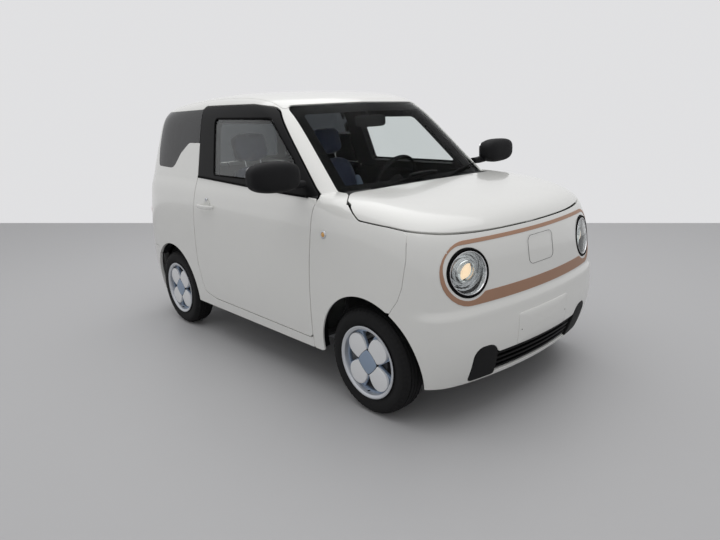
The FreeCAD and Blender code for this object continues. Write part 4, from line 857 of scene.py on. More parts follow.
# Height below the belt, and above it
def belowBelt(shift=0.0):
    return lambda p: beltLine(p[:, 1]) + shift - p[:, 2]


def aboveBelt(shift=0.0):
    return lambda p: p[:, 2] - beltLine(p[:, 1]) - shift


panel("hood", [("lower", both(hoodIn, lowFront), 0, 0.025, 0.003)], "paint", "paint", "hood_body", ["hood"],
      True)
noseIn = both(without(bumperIn, hoodCut, frontArch, lampHole, slotIn, capIn), lowFront)
panel("nosePanel", [("front", noseIn, 0, 0.02, 0.0025)], "paint", "paint", "body", ["front_bumper"], True)
seamEnd = np.array([-0.678, -1.272, 0.93])
nearSeam = lambda p: 0.05 - np.linalg.norm(p - seamEnd, axis=1)
fenderIn = both(
    without(beyond(1, -0.622, -1), shape("side", outlines["bumper"], 0.001), hoodCut, doorCut, frontArch,
            screenIn),
    beyond(2, 0.238), beyond(0, -0.6, -1), outsideCabin,
)
panel("fender", [
    ("side", both(fenderIn, lambda p: np.maximum(belowBelt(0.003)(p), -0.715 - p[:, 1])), 0, 0.009, 0.002),
    ("lower", both(fenderIn, aboveBelt(-0.003), beyond(1, -0.72)), 0.0004, 0.015, 0.001),
    ("lower", both(without(nearSeam, hoodCut), aboveBelt(-2)), 0.0018, 0.006, 0.001),
], "paint", "paint", "body", ["fender_{}"])
doorHigh = both(without(doorIn, windowIn, pillarCut), aboveBelt(0.001), overBelt)
panel("doorSkin", [("side", both(doorIn, belowBelt()), 0, 0.02, 0.0025)], "paint", "paint", "door_{}_body",
      ["door_{}"])
panel("windowFrame", [
    ("cabin", doorHigh, 0, 0.02, 0.0025),
    ("cabin", both(without(doorInner, windowIn, pillarCut), aboveBelt(-0.02), overBelt), 0.021, 0.03,
     0.002),
    ("lower", both(doorIn, aboveBelt(-0.002), outsideCabin), 0.0004, 0.015, 0.001),
], "blackTrim", "black_trim", "door_{}_body", ["door_{}"])
panel("doorCard", [("side", both(doorInner, belowBelt(-0.01)), 0.021, 0.04, 0.003)],
      "interior", "interior", "door_{}_body", ["door_{}"])
sideRegion = both(
    without(beyond(2, 0.238), doorCut, frontArch, rearArch, rearZone, hatchZoneLow, tailHole),
    beyond(0, -0.3, -1), beyond(1, -0.62),
)
cabinRegion = both(without(beyond(1, -1.2), screenIn, roofIn, hatchZoneHigh, doorCut, quarterIn), overBelt,
                   onRight)
panel("bodySide", [
    ("side", both(sideRegion, belowBelt(0.003)), 0, 0.02, 0.0015),
    ("cabin", both(cabinRegion, aboveBelt(-0.012)), 0.0004, 0.02, 0.002),
    ("lower", both(sideRegion, aboveBelt(-0.004), outsideCabin), 0.0004, 0.015, 0.001),
], "paint", "paint", "body", ["side_frame_{}"])
innerLow = both(
    without(beyond(2, 0.24), frameInner, frontArch, rearArch, rearZone, hatchZoneLow,
            lambda p: tailHole(p, 0.002)),
    beyond(1, -0.69), beyond(0, -0.3, -1), belowBelt(-0.004),
)
innerHigh = both(
    without(beyond(1, -1.2), screenIn, roofIn, hatchZoneHigh, frameInner, quarterIn), onRight, aboveBelt(0),
)
panel("bodySideInner", [
    ("side", innerLow, 0.021, 0.039, 0.002), ("cabin", innerHigh, 0.021, 0.039, 0.002),
], "interior", "interior", "body", ["side_frame_{}"])
pillarTop = both(without(beyond(2, 1.40), screenIn, doorCut), beyond(1, 0, -1),
                 lambda p: np.abs(p[:, 0]) - 0.47)
panel("roof", [
    ("cabin", without(roofIn, screenIn), 0, 0.03, 0.0015),
    ("cabin", pillarTop, 0.0022, 0.012, 0.001),
], "paint", "paint", "body", ["roof_panel"], True)
rearIn = both(without(beyond(1, 1.2403), rearArch), beyond(2, 0.5498, -1))
panel("rearBumper", [("lower", rearIn, 0, 0.02, 0.0025)], "paint", "paint", "body", ["rear_bumper"], True)
hatchLow = both(without(hatchIn, hatchGlassIn), beyond(1, 1.40), outsideCabin)
hatchHigh = both(without(hatchIn, hatchGlassIn), beyond(1, 1.28), overBelt)
panel("tailgate", [
    ("lower", hatchLow, 0, 0.05, 0.0025), ("cabin", hatchHigh, 0, 0.05, 0.0025),
], "paint", "paint", "tailgate_body", ["tailgate"], True)
cowlIn = both(without(lambda p: 0.59 - np.abs(p[:, 0]), hoodCut, bumperIn, lambda p: inCabin(p, -0.0052)),
              beyond(1, -0.7, -1), beyond(1, -0.95), beyond(2, 0.9))
panel("cowl", [("lower", cowlIn, 0.008, 0.02, 0.002)], "cowlPlastic", "black_trim", "body", ["cowl_panel"],
      True)
print("painted panels ready")

screenEdge = shape("front", outlines["screen"], -0.0003)
panel("windshield", [("cabin", both(screenEdge, beyond(1, 0.3, -1)), 0.003, 0.005, 0.001)],
      "screen", "clear_glass", "body", ["windshield"], True)
borderIn = both(without(screenEdge, shape("front", outlines["screen"], -0.05)), beyond(1, 0.3, -1))
panel("windshieldBorder", [("cabin", borderIn, 0.0084, 0.0008, 0.0002)], "seal", "black_trim", "body", [],
      True)
panel("doorGlass", [("cabin", shape("side", outlines["window"], -0.0003), 0.005, 0.005, 0.001)],
      "sideTint", "dark_glass", "door_{}_body", ["door_glass_{}"])
quarterGlassIn = without(shape("side", outlines["quarter"], -0.0003), doorCut)
panel("quarterGlass", [("cabin", quarterGlassIn, 0.0005, 0.005, 0.001)],
      "tint", "dark_glass", "body", ["quarter_windows"])
rearGlassIn = both(shape("front", outlines["hatchGlass"], -0.0003), beyond(1, 0.7))
panel("tailgateGlass", [("cabin", rearGlassIn, 0.003, 0.005, 0.001)],
      "tint", "dark_glass", "tailgate_body", ["tailgate_glass"], True)
print("glass ready")


# Surface helpers
# A grid of points [u, v] as a mesh: u or v may close on itself, and open ends may be capped
def gridMesh(name, points, closeU=False, closeV=False, capEnds=False, sharp=None, merge=False):
    rows, columns = points.shape[:2]
    i, j = np.meshgrid(np.arange(rows if closeU else rows - 1),
                       np.arange(columns if closeV else columns - 1), indexing="ij")
    i, j = i.ravel(), j.ravel()
    nextI, nextJ = (i + 1) % rows, (j + 1) % columns
    row, nextRow = i * columns, nextI * columns
    quads = np.stack([row + j, nextRow + j, nextRow + nextJ, row + nextJ], 1)
    flat = points.reshape(-1, 3)
    triangles = np.zeros((0, 3), int)
    if capEnds:
        ring = np.arange(columns)
        caps = []
        for row, order in ((0, 1), (rows - 1, -1)):
            centre = len(flat)
            flat = np.concatenate([flat, points[row].mean(0, keepdims=True)])
            edge = np.stack([np.full(columns, centre), row * columns + (ring + 1) % columns,
                             row * columns + ring], 1)
            caps.append(edge[:, ::order] if order == 1 else edge[:, [0, 2, 1]])
        triangles = np.concatenate(caps)
    thing = makeMesh(name, flat, triangles, quads)
    form = bmesh.new()
    form.from_mesh(thing.data)
    if merge or capEnds:
        bmesh.ops.remove_doubles(form, verts=form.verts, dist=1e-6)
    if form.calc_volume(signed=True) < 0:
        bmesh.ops.reverse_faces(form, faces=form.faces)
    form.to_mesh(thing.data)
    form.free()
    if sharp:
        thing.data.set_sharp_from_angle(angle=math.radians(sharp))
    return thing


# A frame whose third axis looks along a direction, as columns
def frameAlong(direction):
    ahead = np.asarray(direction, float) / np.linalg.norm(direction)
    side = np.cross([0, 0, 1.0], ahead)
    side = side / np.linalg.norm(side) if np.linalg.norm(side) > 1e-6 else np.array([1.0, 0, 0])
    return np.stack([side, np.cross(ahead, side), ahead], 1)


# A profile of (radius, height) turned about an axis at a place
def turnedGrid(profile, place, axis, count=64):
    profile = np.asarray(profile, float)
    angle = np.linspace(0, 2 * math.pi, count, endpoint=False)[:, None]
    local = np.stack([profile[None, :, 0] * np.cos(angle), profile[None, :, 0] * np.sin(angle),
                      np.broadcast_to(profile[None, :, 1], (count, len(profile)))], -1)
    return local @ frameAlong(axis).T + np.asarray(place)


def turnedPiece(name, profile, place, axis, count=64, sharp=35):
    return gridMesh(name, turnedGrid(profile, place, axis, count), closeU=True, sharp=sharp, merge=True)


# A smooth line through points: Catmull-Rom spans, evaluated as arrays
def smoothLine(points, count=8, closed=False):
    p = np.asarray(points, float)
    before = np.concatenate([p[-1:] if closed else 2 * p[:1] - p[1:2], p])
    after = np.concatenate([before, p[:2] if closed else 2 * p[-1:] - p[-2:-1]])
    spans = len(p) if closed else len(p) - 1
    t = np.linspace(0, 1, count, endpoint=False)[None, :, None]
    a, b, c, d = [after[k:k + spans, None, :] for k in range(4)]
    square, cube = 2 * a - 5 * b + 4 * c - d, 3 * b - a - 3 * c + d
    line = 0.5 * (2 * b + (c - a) * t + square * t ** 2 + cube * t ** 3)
    line = line.reshape(-1, p.shape[1])
    return line if closed else np.concatenate([line, p[-1:]])


# A closed section carried along a path, kept square to it, with its size given along the way
def sweptPiece(name, path, section, scale=None, upward=(0, 0, 1.0), closed=False, sharp=40):
    path, section = np.asarray(path, float), np.asarray(section, float)
    if closed:
        ahead = np.roll(path, -1, 0) - np.roll(path, 1, 0)
    else:
        ahead = np.gradient(path, axis=0)
    ahead /= np.linalg.norm(ahead, axis=1, keepdims=True)
    upward = np.broadcast_to(np.asarray(upward, float), path.shape)
    side = np.cross(ahead, upward)
    side /= np.linalg.norm(side, axis=1, keepdims=True)
    over = np.cross(side, ahead)
    scale = np.ones(len(path)) if scale is None else np.asarray(scale, float)
    points = (path[:, None] + side[:, None] * section[None, :, :1] * scale[:, None, None]
              + over[:, None] * section[None, :, 1:] * scale[:, None, None])
    return gridMesh(name, points, closeU=closed, closeV=True, capEnds=not closed, sharp=sharp)


# A superellipse of a width and a height
def roundSection(width, height, power=4, count=20):
    angle = np.linspace(0, 2 * math.pi, count, endpoint=False)
    x, y = squircle(angle, power)
    return np.stack([x * width / 2, y * height / 2], 1)


# A closed rounded block: a superellipse in plan and in section, with its own pull at each end
def pillow(name, centre, size, power=4.0, lean=0.0, count=(56, 28), shapeIt=None, edgePower=None):
    angle = np.linspace(0, 2 * math.pi, count[0], endpoint=False)
    rise = np.linspace(-math.pi / 2, math.pi / 2, count[1])
    x, y = squircle(angle, power)
    out, up = squircle(rise, edgePower or power)
    unit = np.stack([x[:, None] * out, y[:, None] * out, np.broadcast_to(up, (count[0], count[1]))], -1)
    if shapeIt:
        unit = shapeIt(unit)
    local = unit * np.asarray(size) / 2
    c, s = math.cos(math.radians(lean)), math.sin(math.radians(lean))
    x, y, z = np.moveaxis(local, -1, 0)
    turned = np.stack([x, y * c + z * s, z * c - y * s], -1)
    return gridMesh(name, turned + np.asarray(centre), closeU=True, merge=True)


# The same piece on the other side of the car
def mirroredPiece(thing, name):
    twin = thing.copy()
    twin.data = thing.data.copy()
    twin.name = name
    bpy.context.scene.collection.objects.link(twin)
    form = bmesh.new()
    form.from_mesh(twin.data)
    bmesh.ops.scale(form, vec=(-1, 1, 1), verts=form.verts)
    bmesh.ops.reverse_faces(form, faces=form.faces)
    form.to_mesh(twin.data)
    form.free()
    return twin


# A right-hand piece and its mirror twin; {} in a body or node stands for the side
def pair(thing, body, look, slot, *replaced):
    name = thing.name
    twin = mirroredPiece(thing, name + "Left")
    thing.name = name + "Right"
    for piece, hand in ((thing, "right"), (twin, "left")):
        finish(piece, body.format(hand), look, slot,
               *[node.format(hand) for node in replaced])
    return thing, twin


# The nose and the side of the lower body as plain heights over (x, z) and over (y, z)
def noseY(x, z, depth=0.0):
    f = form
    half = carWidth / 2 - depth - f["sideTurn"] * (np.abs(z - f["waist"]) / f["sideReach"]) ** 2
    across = np.minimum(np.abs(x) / half, 0.999)
    along = (1 - across ** f["cornerPower"]) ** (1 / f["cornerPower"])
    above = np.maximum(0, z - f["bumperHeight"]) / f["leanReach"]
    below = np.maximum(0, f["bumperHeight"] - z) / f["chinReach"]
    reach = (carLength / 2 - depth - f["noseLean"] * above ** 1.5 - f["chinTuck"] * below ** 2
             - f["noseBow"] * across ** 2)
    y = -reach * along
    return y - noseLedge(y, z)


# Half width at a height, times the superellipse of the distance along the car
def sideX(y, z, depth=0.0):
    f = form
    half = carWidth / 2 - depth - f["sideTurn"] * (np.abs(z - f["waist"]) / f["sideReach"]) ** 2
    along = np.minimum(np.abs(y) / (carLength / 2 - 0.06), 0.999)
    return -half * (1 - along ** f["cornerPower"]) ** (1 / f["cornerPower"])


# The screen's plane, raked by its height and bowed by a parabola across
def screenY(x, z, depth=0.0):
    f = form
    half = f["glassHalf"] - f["tumble"] * (z - f["glassBase"])
    inward = depth * math.hypot(1, f["screenRake"])
    bow = f["screenBow"] * (x / half) ** 2
    return f["screenBase"] + f["screenRake"] * (z - f["screenHeight"]) + inward + bow


# Nose
noseTurns = evenAngles(lambda t: lowerPoint(t, np.full_like(t, 0.45)), 1.1, 0.007)
noseRises = evenAngles(lambda r: lowerPoint(np.full_like(r, 0.3), r), 0.9, 0.007)
lattices["nose"] = (nosePoint, noseTurns, noseRises)
ring = {"outer": (0.634, 0.590, 0.878), "inner": (0.619, 0.643, 0.8605), "lampBand": 0.1225,
        "proud": 0.0015}


# The copper ring: a long loop, cut by a smaller one and by a circle round each lamp
def ringLine():
    loops = []
    for half, low, high in (ring["outer"], ring["inner"]):
        bend = 0.98 * (high - low) / 2
        loops.append(rowBox(half, low, high, bend))
    return without(loops[0], loops[1], lampRound(ring["lampBand"]))


panel("noseRing", [("nose", ringLine(), -ring["proud"], 0.0014, 0.0008)], "copper", "copper", "body",
      ["front_ring"], True)
capInner = roundedRow(grownCorners(capShape, -0.0008))
panel("cornerCap", [("nose", capInner, -0.002, 0.018, 0.006)], "cowlPlastic", "black_trim", "body",
      ["lower_grille"])
panel("grilleBack", [("nose", rowBox(0.358, 0.2, 0.338, 0.002), 0.05, 0.006, 0.002)], "blackTrim",
      "black_trim", "body", ["lower_grille"], True)

grille = {"half": 0.357, "low": 0.222, "high": 0.334, "count": 4, "height": 0.012, "depth": 0.02}
for k in range(grille["count"]):
    z = grille["low"] + (k + 0.5) * (grille["high"] - grille["low"]) / grille["count"]
    x = np.linspace(-grille["half"], grille["half"], 60)
    path = np.stack([x, noseY(x, z, 0.008 + grille["depth"] / 2), np.full_like(x, z)], 1)
    slat = sweptPiece(f"grilleSlat{k}", path, roundSection(grille["depth"], grille["height"], 5))
    finish(slat, "body", "blackTrim", "black_trim", "lower_grille")

plate = {"half": 0.216, "low": 0.337, "high": 0.496, "proud": 0.0035, "holeX": 0.195, "hole": 0.003}
x, z = squircle(np.linspace(0, 2 * math.pi, 96, endpoint=False), 26)
rows = []
middle, rise = (plate["low"] + plate["high"]) / 2, (plate["high"] - plate["low"]) / 2
for share, sink in ((1.0, 0.02), (1.0, 0.0015), (0.997, 0.0004), (0.99, 0.0), (0.5, 0.0), (0.001, 0.0)):
    px, pz = x * plate["half"] * share, middle + z * rise * share
    rows.append(np.stack([px, noseY(px, pz) - plate["proud"] + sink, pz], 1))
finish(gridMesh("platePad", np.stack(rows), closeV=True, merge=True, sharp=50), "body", "paint", "paint",
       "front_bumper")
# Black plugs at the plate's holes: painted shade standing for the dark inside of the holes
for side in (-1, 1):
    hole = turnedPiece("plateHoleShade" + ("Right" if side < 0 else "Left"),
                       [(0, 0.0002), (plate["hole"], 0.0002), (plate["hole"], -0.006), (0, -0.006)],
                       (side * plate["holeX"], noseY(plate["holeX"], 0.41) - plate["proud"], 0.41),
                       (0, -1, 0), 20)
    finish(hole, "body", "blackTrim", "black_trim", "front_bumper")


# Each side of a closed line cut into equal steps
def steppedLine(line, count):
    sides = zip(line, np.roll(line, -1, 0))
    return np.concatenate([np.linspace(a, b, count, endpoint=False) for a, b in sides])


# A fine dark strip on the nose along a rounded outline: painted shade standing for the shadow in a shut
# line seen from outside
def shutLineShade(name, corners, width=0.0016, proud=0.0003):
    fine = steppedLine(outlineLine(corners, 12), 6)
    path = np.stack([fine[:, 0], noseY(fine[:, 0], fine[:, 1]) - proud, fine[:, 1]], 1)
    strip = sweptPiece(name, path, roundSection(width, width, 2, 8), upward=(0, -1, 0), closed=True)
    finish(strip, "body", "blackTrim", "black_trim", "front_bumper")


emblem = {"half": 0.105, "low": 0.706, "high": 0.841, "bend": 0.03}
# The emblem plate's shut line, as a dark strip of painted shade
shutLineShade("emblemShutShade", [(side * emblem["half"], emblem[level], emblem["bend"])
                           for side, level in ((1, "low"), (-1, "low"), (-1, "high"), (1, "high"))])
print("nose ready")


# Lamps
finishes["warm"], tree, warmShader = newMaterial("warmLight")
warmShader.inputs["Base Color"].default_value = (1, 0.8, 0.6, 1)
warmShader.inputs["Emission Color"].default_value = (1, 0.70, 0.46, 1)
warmShader.inputs["Emission Strength"].default_value = 1.0


# A profile of (radius, standing out) carried round the lamp on the nose's own skin
def lampLoop(name, profile, closed, look, slot):
    profile = np.array(profile)
    angle = np.linspace(0, 2 * math.pi, 96, endpoint=False)[:, None]
    x = -lamp["x"] + profile[:, 0] * np.cos(angle)
    z = lamp["z"] + profile[:, 0] * np.sin(angle)
    points = np.stack([x, noseY(x, z) - profile[:, 1], z], -1)
    thing = gridMesh(name, points, closeU=True, closeV=closed, sharp=40, merge=True)
    pair(thing, "body", look, slot, "headlamp_{}")


# Profile points given as (in from the lamp's edge, standing out)
def fromEdge(*rows):
    return [(lamp["radius"] - inset, out) for inset, out in rows]


lampPlace = np.array([-lamp["x"], noseY(lamp["x"], lamp["z"]), lamp["z"]])
lampLoop("lampBezel", fromEdge((0.0004, -0.02), (0.0004, 0.0005), (0.002, 0.0032), (0.005, 0.004),
                               (0.009, 0.0022), (0.0108, -0.002), (0.0108, -0.02)),
         True, "seal", "black_trim")
lampLoop("lampRing", fromEdge((0.0112, -0.018), (0.0112, -0.0015), (0.0125, 0.0012), (0.0150, 0.0012),
                              (0.0168, -0.002), (0.0168, -0.018)),
         True, "chrome", "lamp")
lampLoop("lampCover", [(0, 0.006), (0.03, 0.0055), (0.06, 0.004), (0.082, 0.001),
                       *fromEdge((0.0170, -0.003), (0.0170, -0.006)),
                       (0.082, -0.0015), (0.06, 0.0015), (0.03, 0.003), (0, 0.0035)],
         False, "clear", "lamp")
lampParts = [
    ("lampHousing", [(0.090, -0.030), (0.084, -0.041), (0.076, -0.040), (0.070, -0.050), (0.058, -0.052),
                     (0.05, -0.062), (0.03, -0.070), (0, -0.072), (0, -0.075), (0.092, -0.075),
                     (0.0945, -0.03)], "chrome", "lamp"),
    ("lampShade", [(0.053, -0.046), (0.053, -0.026), (0.050, -0.0225), (0.046, -0.022), (0.0435, -0.026),
                   (0.043, -0.05)],
     "chrome", "lamp"),
    ("lampCollar", [(0.058, -0.05), (0.058, -0.031), (0.0555, -0.029), (0.0535, -0.031), (0.0535, -0.05)],
     "chrome", "lamp"),
]
for name, profile, look, slot in lampParts:
    closed = profile + profile[:1]
    pair(turnedPiece(name, closed, lampPlace, lampOut, 72), "body", look, slot, "headlamp_{}")
projector = turnedPiece("lampProjector", [(0, -0.045), (0.03, -0.045), (0.042, -0.041), (0.0432, -0.036),
                                          (0.040, -0.026), (0.028, -0.016), (0.014, -0.0115), (0, -0.0105)],
                        lampPlace, lampOut, 64)
pair(projector, "body", "clear", "lamp", "headlamp_{}")
bulb = turnedPiece("lampGlow", [(0, -0.062), (0.018, -0.062), (0.026, -0.056), (0.028, -0.050),
                                (0, -0.048)], lampPlace, lampOut, 48)
pair(bulb, "body", "warm", "lamp", "headlamp_{}")


# The tail lamps are rings of the body's own skin, standing a little proud of it
def tailRing(outer, inner):
    rings = [lambda p: tailHole(p, outer - tail["radius"])]
    if inner:
        rings.append(lambda p: -tailHole(p, inner - tail["radius"]))
    return both(*rings, beyond(0, -0.3, -1), beyond(1, 0.2))


tailTurns = evenAngles(lambda t: lowerPoint(t, np.full_like(t, 0.45)), math.pi, 0.007)
tailRises = evenAngles(lambda r: lowerPoint(np.full_like(r, 2.4), r), 0.9, 0.007)
lattices["tail"] = (lowerPoint, tailTurns[tailTurns > 1.9], tailRises[tailRises > 0.3])
panel("tailLens", [("tail", tailRing(0.067, 0.041), -0.0075, 0.03, 0.004)], "red", "red_lamp", "body",
      ["tail_lamps"])
panel("tailCentre", [("tail", tailRing(0.0395, 0), -0.006, 0.03, 0.003)], "clear", "lamp", "body",
      ["tail_lamps"])
panel("tailSeat", [("tail", tailRing(0.066, 0), 0.024, 0.012, 0.002)], "chrome", "lamp", "body",
      ["tail_lamps"])
print("lamps ready")


# Wheels
wheel = {"inner": 0.593, "height": 0.2665, "front": arch["front"], "rear": arch["rear"],
         "petalLift": 0.1355, "petalDome": 0.003, "petalSkirt": 0.014, "dishLift": 0.126,
         "dishDepth": 0.012}
tyre = {"middle": 0.0725, "radius": 0.2665, "crown": 0.0022, "blocks": 58, "groove": 0.006,
        "grooveHalf": 0.0032, "grooves": (0.040, 0.0615, 0.0835, 0.105), "shoulderCut": 0.0042,
        "middleCut": 0.002,
        "section": [(0.014, 0.168), (0.0115, 0.176), (0.0105, 0.186), (0.005, 0.200), (0.0012, 0.218),
                    (0.002, 0.236), (0.0065, 0.249), (0.014, 0.2575), (0.024, 0.2625)]}


# The tyre: a smooth section turned about the axle, with grooves round it and cuts across its shoulders
def tyreGrid():
    section = smoothLine(tyre["section"], 3)
    tread = np.linspace(0.027, 0.118, 52)
    treadRadius = tyre["radius"] - tyre["crown"] * (np.abs(tread - tyre["middle"]) / 0.048) ** 3
    a = np.concatenate([section[:, 0], tread, 2 * tyre["middle"] - section[::-1, 0]])
    r = np.concatenate([section[:, 1], treadRadius, section[::-1, 1]])
    off = np.abs(a - tyre["middle"])
    inward = a < tyre["middle"]
    count = tyre["blocks"] * 3
    angle = np.linspace(0, 2 * math.pi, count, endpoint=False)[:, None]
    cut = np.zeros_like(a)
    for place in tyre["grooves"]:
        slope = np.clip((tyre["grooveHalf"] - np.abs(a - place)) / 0.0012, 0, 1)
        cut = np.maximum(cut, slope * tyre["groove"])
    cut = np.broadcast_to(cut, (count, len(a)))
    slant = np.where(inward, 1, -1) * (off * 9)
    phase = (angle * tyre["blocks"] / (2 * math.pi) + slant) % 1
    shoulder = (off > 0.034) & (off < 0.0665) & (r > 0.247)
    across = np.where((phase < 0.2) & shoulder, tyre["shoulderCut"], 0)
    middle = (off < 0.0075) & (off > 0.0)
    across = np.maximum(across, np.where((phase < 0.14) & middle, tyre["middleCut"], 0))
    rib = 0.0011 * np.exp(-((r - 0.1925) / 0.0012) ** 2) + 0.0008 * np.exp(-((r - 0.2405) / 0.001) ** 2)
    radius = r - np.maximum(cut, across)
    push = np.where(off > 0.055, np.where(inward, -rib, rib), 0)
    return np.stack([np.broadcast_to(a + push, radius.shape), radius * np.sin(angle),
                     radius * np.cos(angle)], -1)


# A flat shape about a place in the wheel's plane, domed, with a rolled edge and a skirt behind
def wheelLeaf(outline, centre, lift, dome, skirt, rows=7):
    outline = np.asarray(outline)
    layers = [(1.0, -skirt), (1.0, -0.0025), (0.985, -0.0008), (0.96, 0.0)]
    layers += [(share, dome * (1 - share ** 2)) for share in np.linspace(0.9, 0.01, rows)]
    return np.stack([np.stack([np.full(len(outline), lift + up), centre[0] + outline[:, 0] * share,
                               centre[1] + outline[:, 1] * share], -1) for share, up in layers])


# Points turned about the axle
def turnedInPlane(points, turns):
    c, s = math.cos(turns), math.sin(turns)
    return np.stack([points[..., 0], points[..., 1] * c - points[..., 2] * s,
                     points[..., 1] * s + points[..., 2] * c], -1)


# A petal of the wheel: its foot runs along one edge of the diamond, and it ends round near the rim
petal = {"centre": 0.104, "side": [(0.0485, 0.0), (0.0485, 0.020), (0.0490, 0.0385), (0.0535, 0.0440),
                                   (0.066, 0.0500), (0.085, 0.0565), (0.105, 0.0590), (0.124, 0.0560),
                                   (0.140, 0.0470), (0.152, 0.0330), (0.1585, 0.0165), (0.1605, 0.0)]}


# The petal's half outline and its mirror image, as one smooth closed line
def petalOutline():
    half = np.array(petal["side"]) - [petal["centre"], 0]
    return smoothLine(np.concatenate([half, half[-2:0:-1] * [1, -1]]), 3, closed=True)


# The dish behind the petals: four spokes whose edges leave a triangle open between them
def dishGrid(spoke, lift, dish):
    radius = np.concatenate([np.linspace(0.02, 0.072, 6), np.linspace(0.0735, 0.1515, 12),
                             np.linspace(0.153, 0.1735, 4)])
    opening = np.where((radius > 0.073) & (radius < 0.152), 0.046 * (radius - 0.072) / 0.08, 0)
    half = math.pi / 4 - np.arcsin(np.clip(opening / radius, 0, 0.9))
    share = np.linspace(-1, 1, 17)
    angle = math.pi / 4 + spoke * math.pi / 2 + half[:, None] * share
    depth = lift - dish * np.clip((radius - 0.07) / 0.1, 0, 1)[:, None] ** 1.5 + 0 * angle
    return np.stack([depth, radius[:, None] * np.cos(angle), radius[:, None] * np.sin(angle)], -1)


# Points (out from the wheel's inner face, ahead, up) put at a wheel, turned round for the right side
def wheelSpace(points, side, y):
    flip = np.array([side, side, 1.0])
    return points * flip + np.array([side * wheel["inner"], y, wheel["height"]])


# Grids joined where they meet and given a thickness
def solidGrid(name, grids, thickness):
    pieces = [gridMesh(f"{name}{k}", g) for k, g in enumerate(grids)]
    form = bmesh.new()
    for piece in pieces:
        form.from_mesh(piece.data)
    bmesh.ops.remove_doubles(form, verts=form.verts, dist=1e-5)
    bmesh.ops.recalc_face_normals(form, faces=form.faces)
    bmesh.ops.solidify(form, geom=form.faces[:] + form.verts[:] + form.edges[:], thickness=thickness)
    bmesh.ops.recalc_face_normals(form, faces=form.faces)
    form.to_mesh(pieces[0].data)
    form.free()
    for piece in pieces[1:]:
        bpy.data.objects.remove(piece)
    pieces[0].name = name
    pieces[0].data.set_sharp_from_angle(angle=math.radians(35))
    return pieces[0]


rimSection = [(0.004, 0.1815), (0.004, 0.1655), (0.03, 0.1605), (0.112, 0.1605), (0.1395, 0.166),
              (0.1425, 0.172), (0.1448, 0.1765), (0.1455, 0.181), (0.1445, 0.1832), (0.1415, 0.1835),
              (0.1385, 0.1805), (0.1335, 0.1745), (0.118, 0.1725), (0.112, 0.1648), (0.01, 0.1648),
              (0.01, 0.1815), (0.004, 0.1815)]
diamondAngle = np.linspace(0, 2 * math.pi, 64, endpoint=False)
dx, dy = squircle(diamondAngle, 1.28)
diamond = np.stack([dx, dy], 1)
diamonds = [("rimCap", 0.0635, 0.1375, 0.002, 0.02, "blueRim"),
            ("rimCapSeat", 0.0675, 0.1362, 0.0, 0.018, "blackTrim")]
valveLine = [(0.128, 0.0, -0.152), (0.134, 0.0, -0.1505), (0.142, 0.0, -0.149)]
tyrePoints = tyreGrid()
section = np.array(rimSection)
angle = np.linspace(0, 2 * math.pi, 96, endpoint=False)[:, None]
across = np.broadcast_to(section[None, :, 0], (96, len(section)))
rimPoints = np.stack([across, section[:, 1] * np.sin(angle), section[:, 1] * np.cos(angle)], -1)
for end, y in (("front", wheel["front"]), ("rear", wheel["rear"])):
    for hand, side in (("Right", -1), ("Left", 1)):
        tag, low = end.capitalize() + hand, f"{end}_{hand.lower()}"
        body = f"wheel_{low}"
        tyrePiece = gridMesh("tyre" + tag, wheelSpace(tyrePoints, side, y), closeU=True, closeV=True,
                             sharp=38)
        finish(tyrePiece, body, "rubber", "tyre", f"tyre_{low}")
        rim = gridMesh("rimBarrel" + tag, wheelSpace(rimPoints, side, y), closeU=True, sharp=35, merge=True)
        finish(rim, body, "silver", "rim_silver", f"rim_{low}")
        spokes = [wheelSpace(dishGrid(k, wheel["dishLift"], wheel["dishDepth"]), side, y) for k in range(4)]
        dish = solidGrid("rimDish" + tag, spokes, 0.012)
        finish(dish, body, "blueRim", "rim_silver", f"rim_{low}")
        for k in range(4):
            leaf = wheelLeaf(petalOutline(), (petal["centre"], 0), wheel["petalLift"], wheel["petalDome"],
                             wheel["petalSkirt"])
            leaf = turnedInPlane(leaf, math.pi / 4 + k * math.pi / 2)
            leafPiece = gridMesh(f"rimPetal{tag}{k}", wheelSpace(leaf, side, y), closeV=True, merge=True,
                                 sharp=50)
            finish(leafPiece, body, "whiteRim", "rim_silver", f"rim_{low}")
        for label, half, lift, dome, skirt, look in diamonds:
            leaf = wheelLeaf(diamond * half, (0, 0), lift, dome, skirt)
            cap = gridMesh(label + tag, wheelSpace(leaf, side, y), closeV=True, merge=True, sharp=50)
            finish(cap, body, look, "rim_silver", f"rim_{low}")
        valve = sweptPiece("valve" + tag, wheelSpace(np.array(valveLine), side, y),
                           roundSection(0.007, 0.007, 2, 12), upward=(0, 1, 0))
        finish(valve, body, "blackTrim", "rim_silver", f"rim_{low}")
print("wheels ready")


# Outside trim
mirror = {"centre": (-0.9015, -0.603, 1.157), "size": (0.277, 0.124, 0.157), "armY": -0.562}


# The mirror's shell gets lower towards its ends by a square and a cube, and its glass side is flattened
def mirrorForm(unit):
    out = (1 - unit[..., 0]) / 2
    unit = unit.copy()
    unit[..., 2] *= 1 - 0.12 * out ** 2 - 0.1 * (1 - out) ** 3
    unit[..., 1] = np.where(unit[..., 1] > 0.86, 0.86 + (unit[..., 1] - 0.86) * 0.2, unit[..., 1])
    unit[..., 2] += 0.06 * (1 - unit[..., 1]) * (out - 0.5)
    return unit


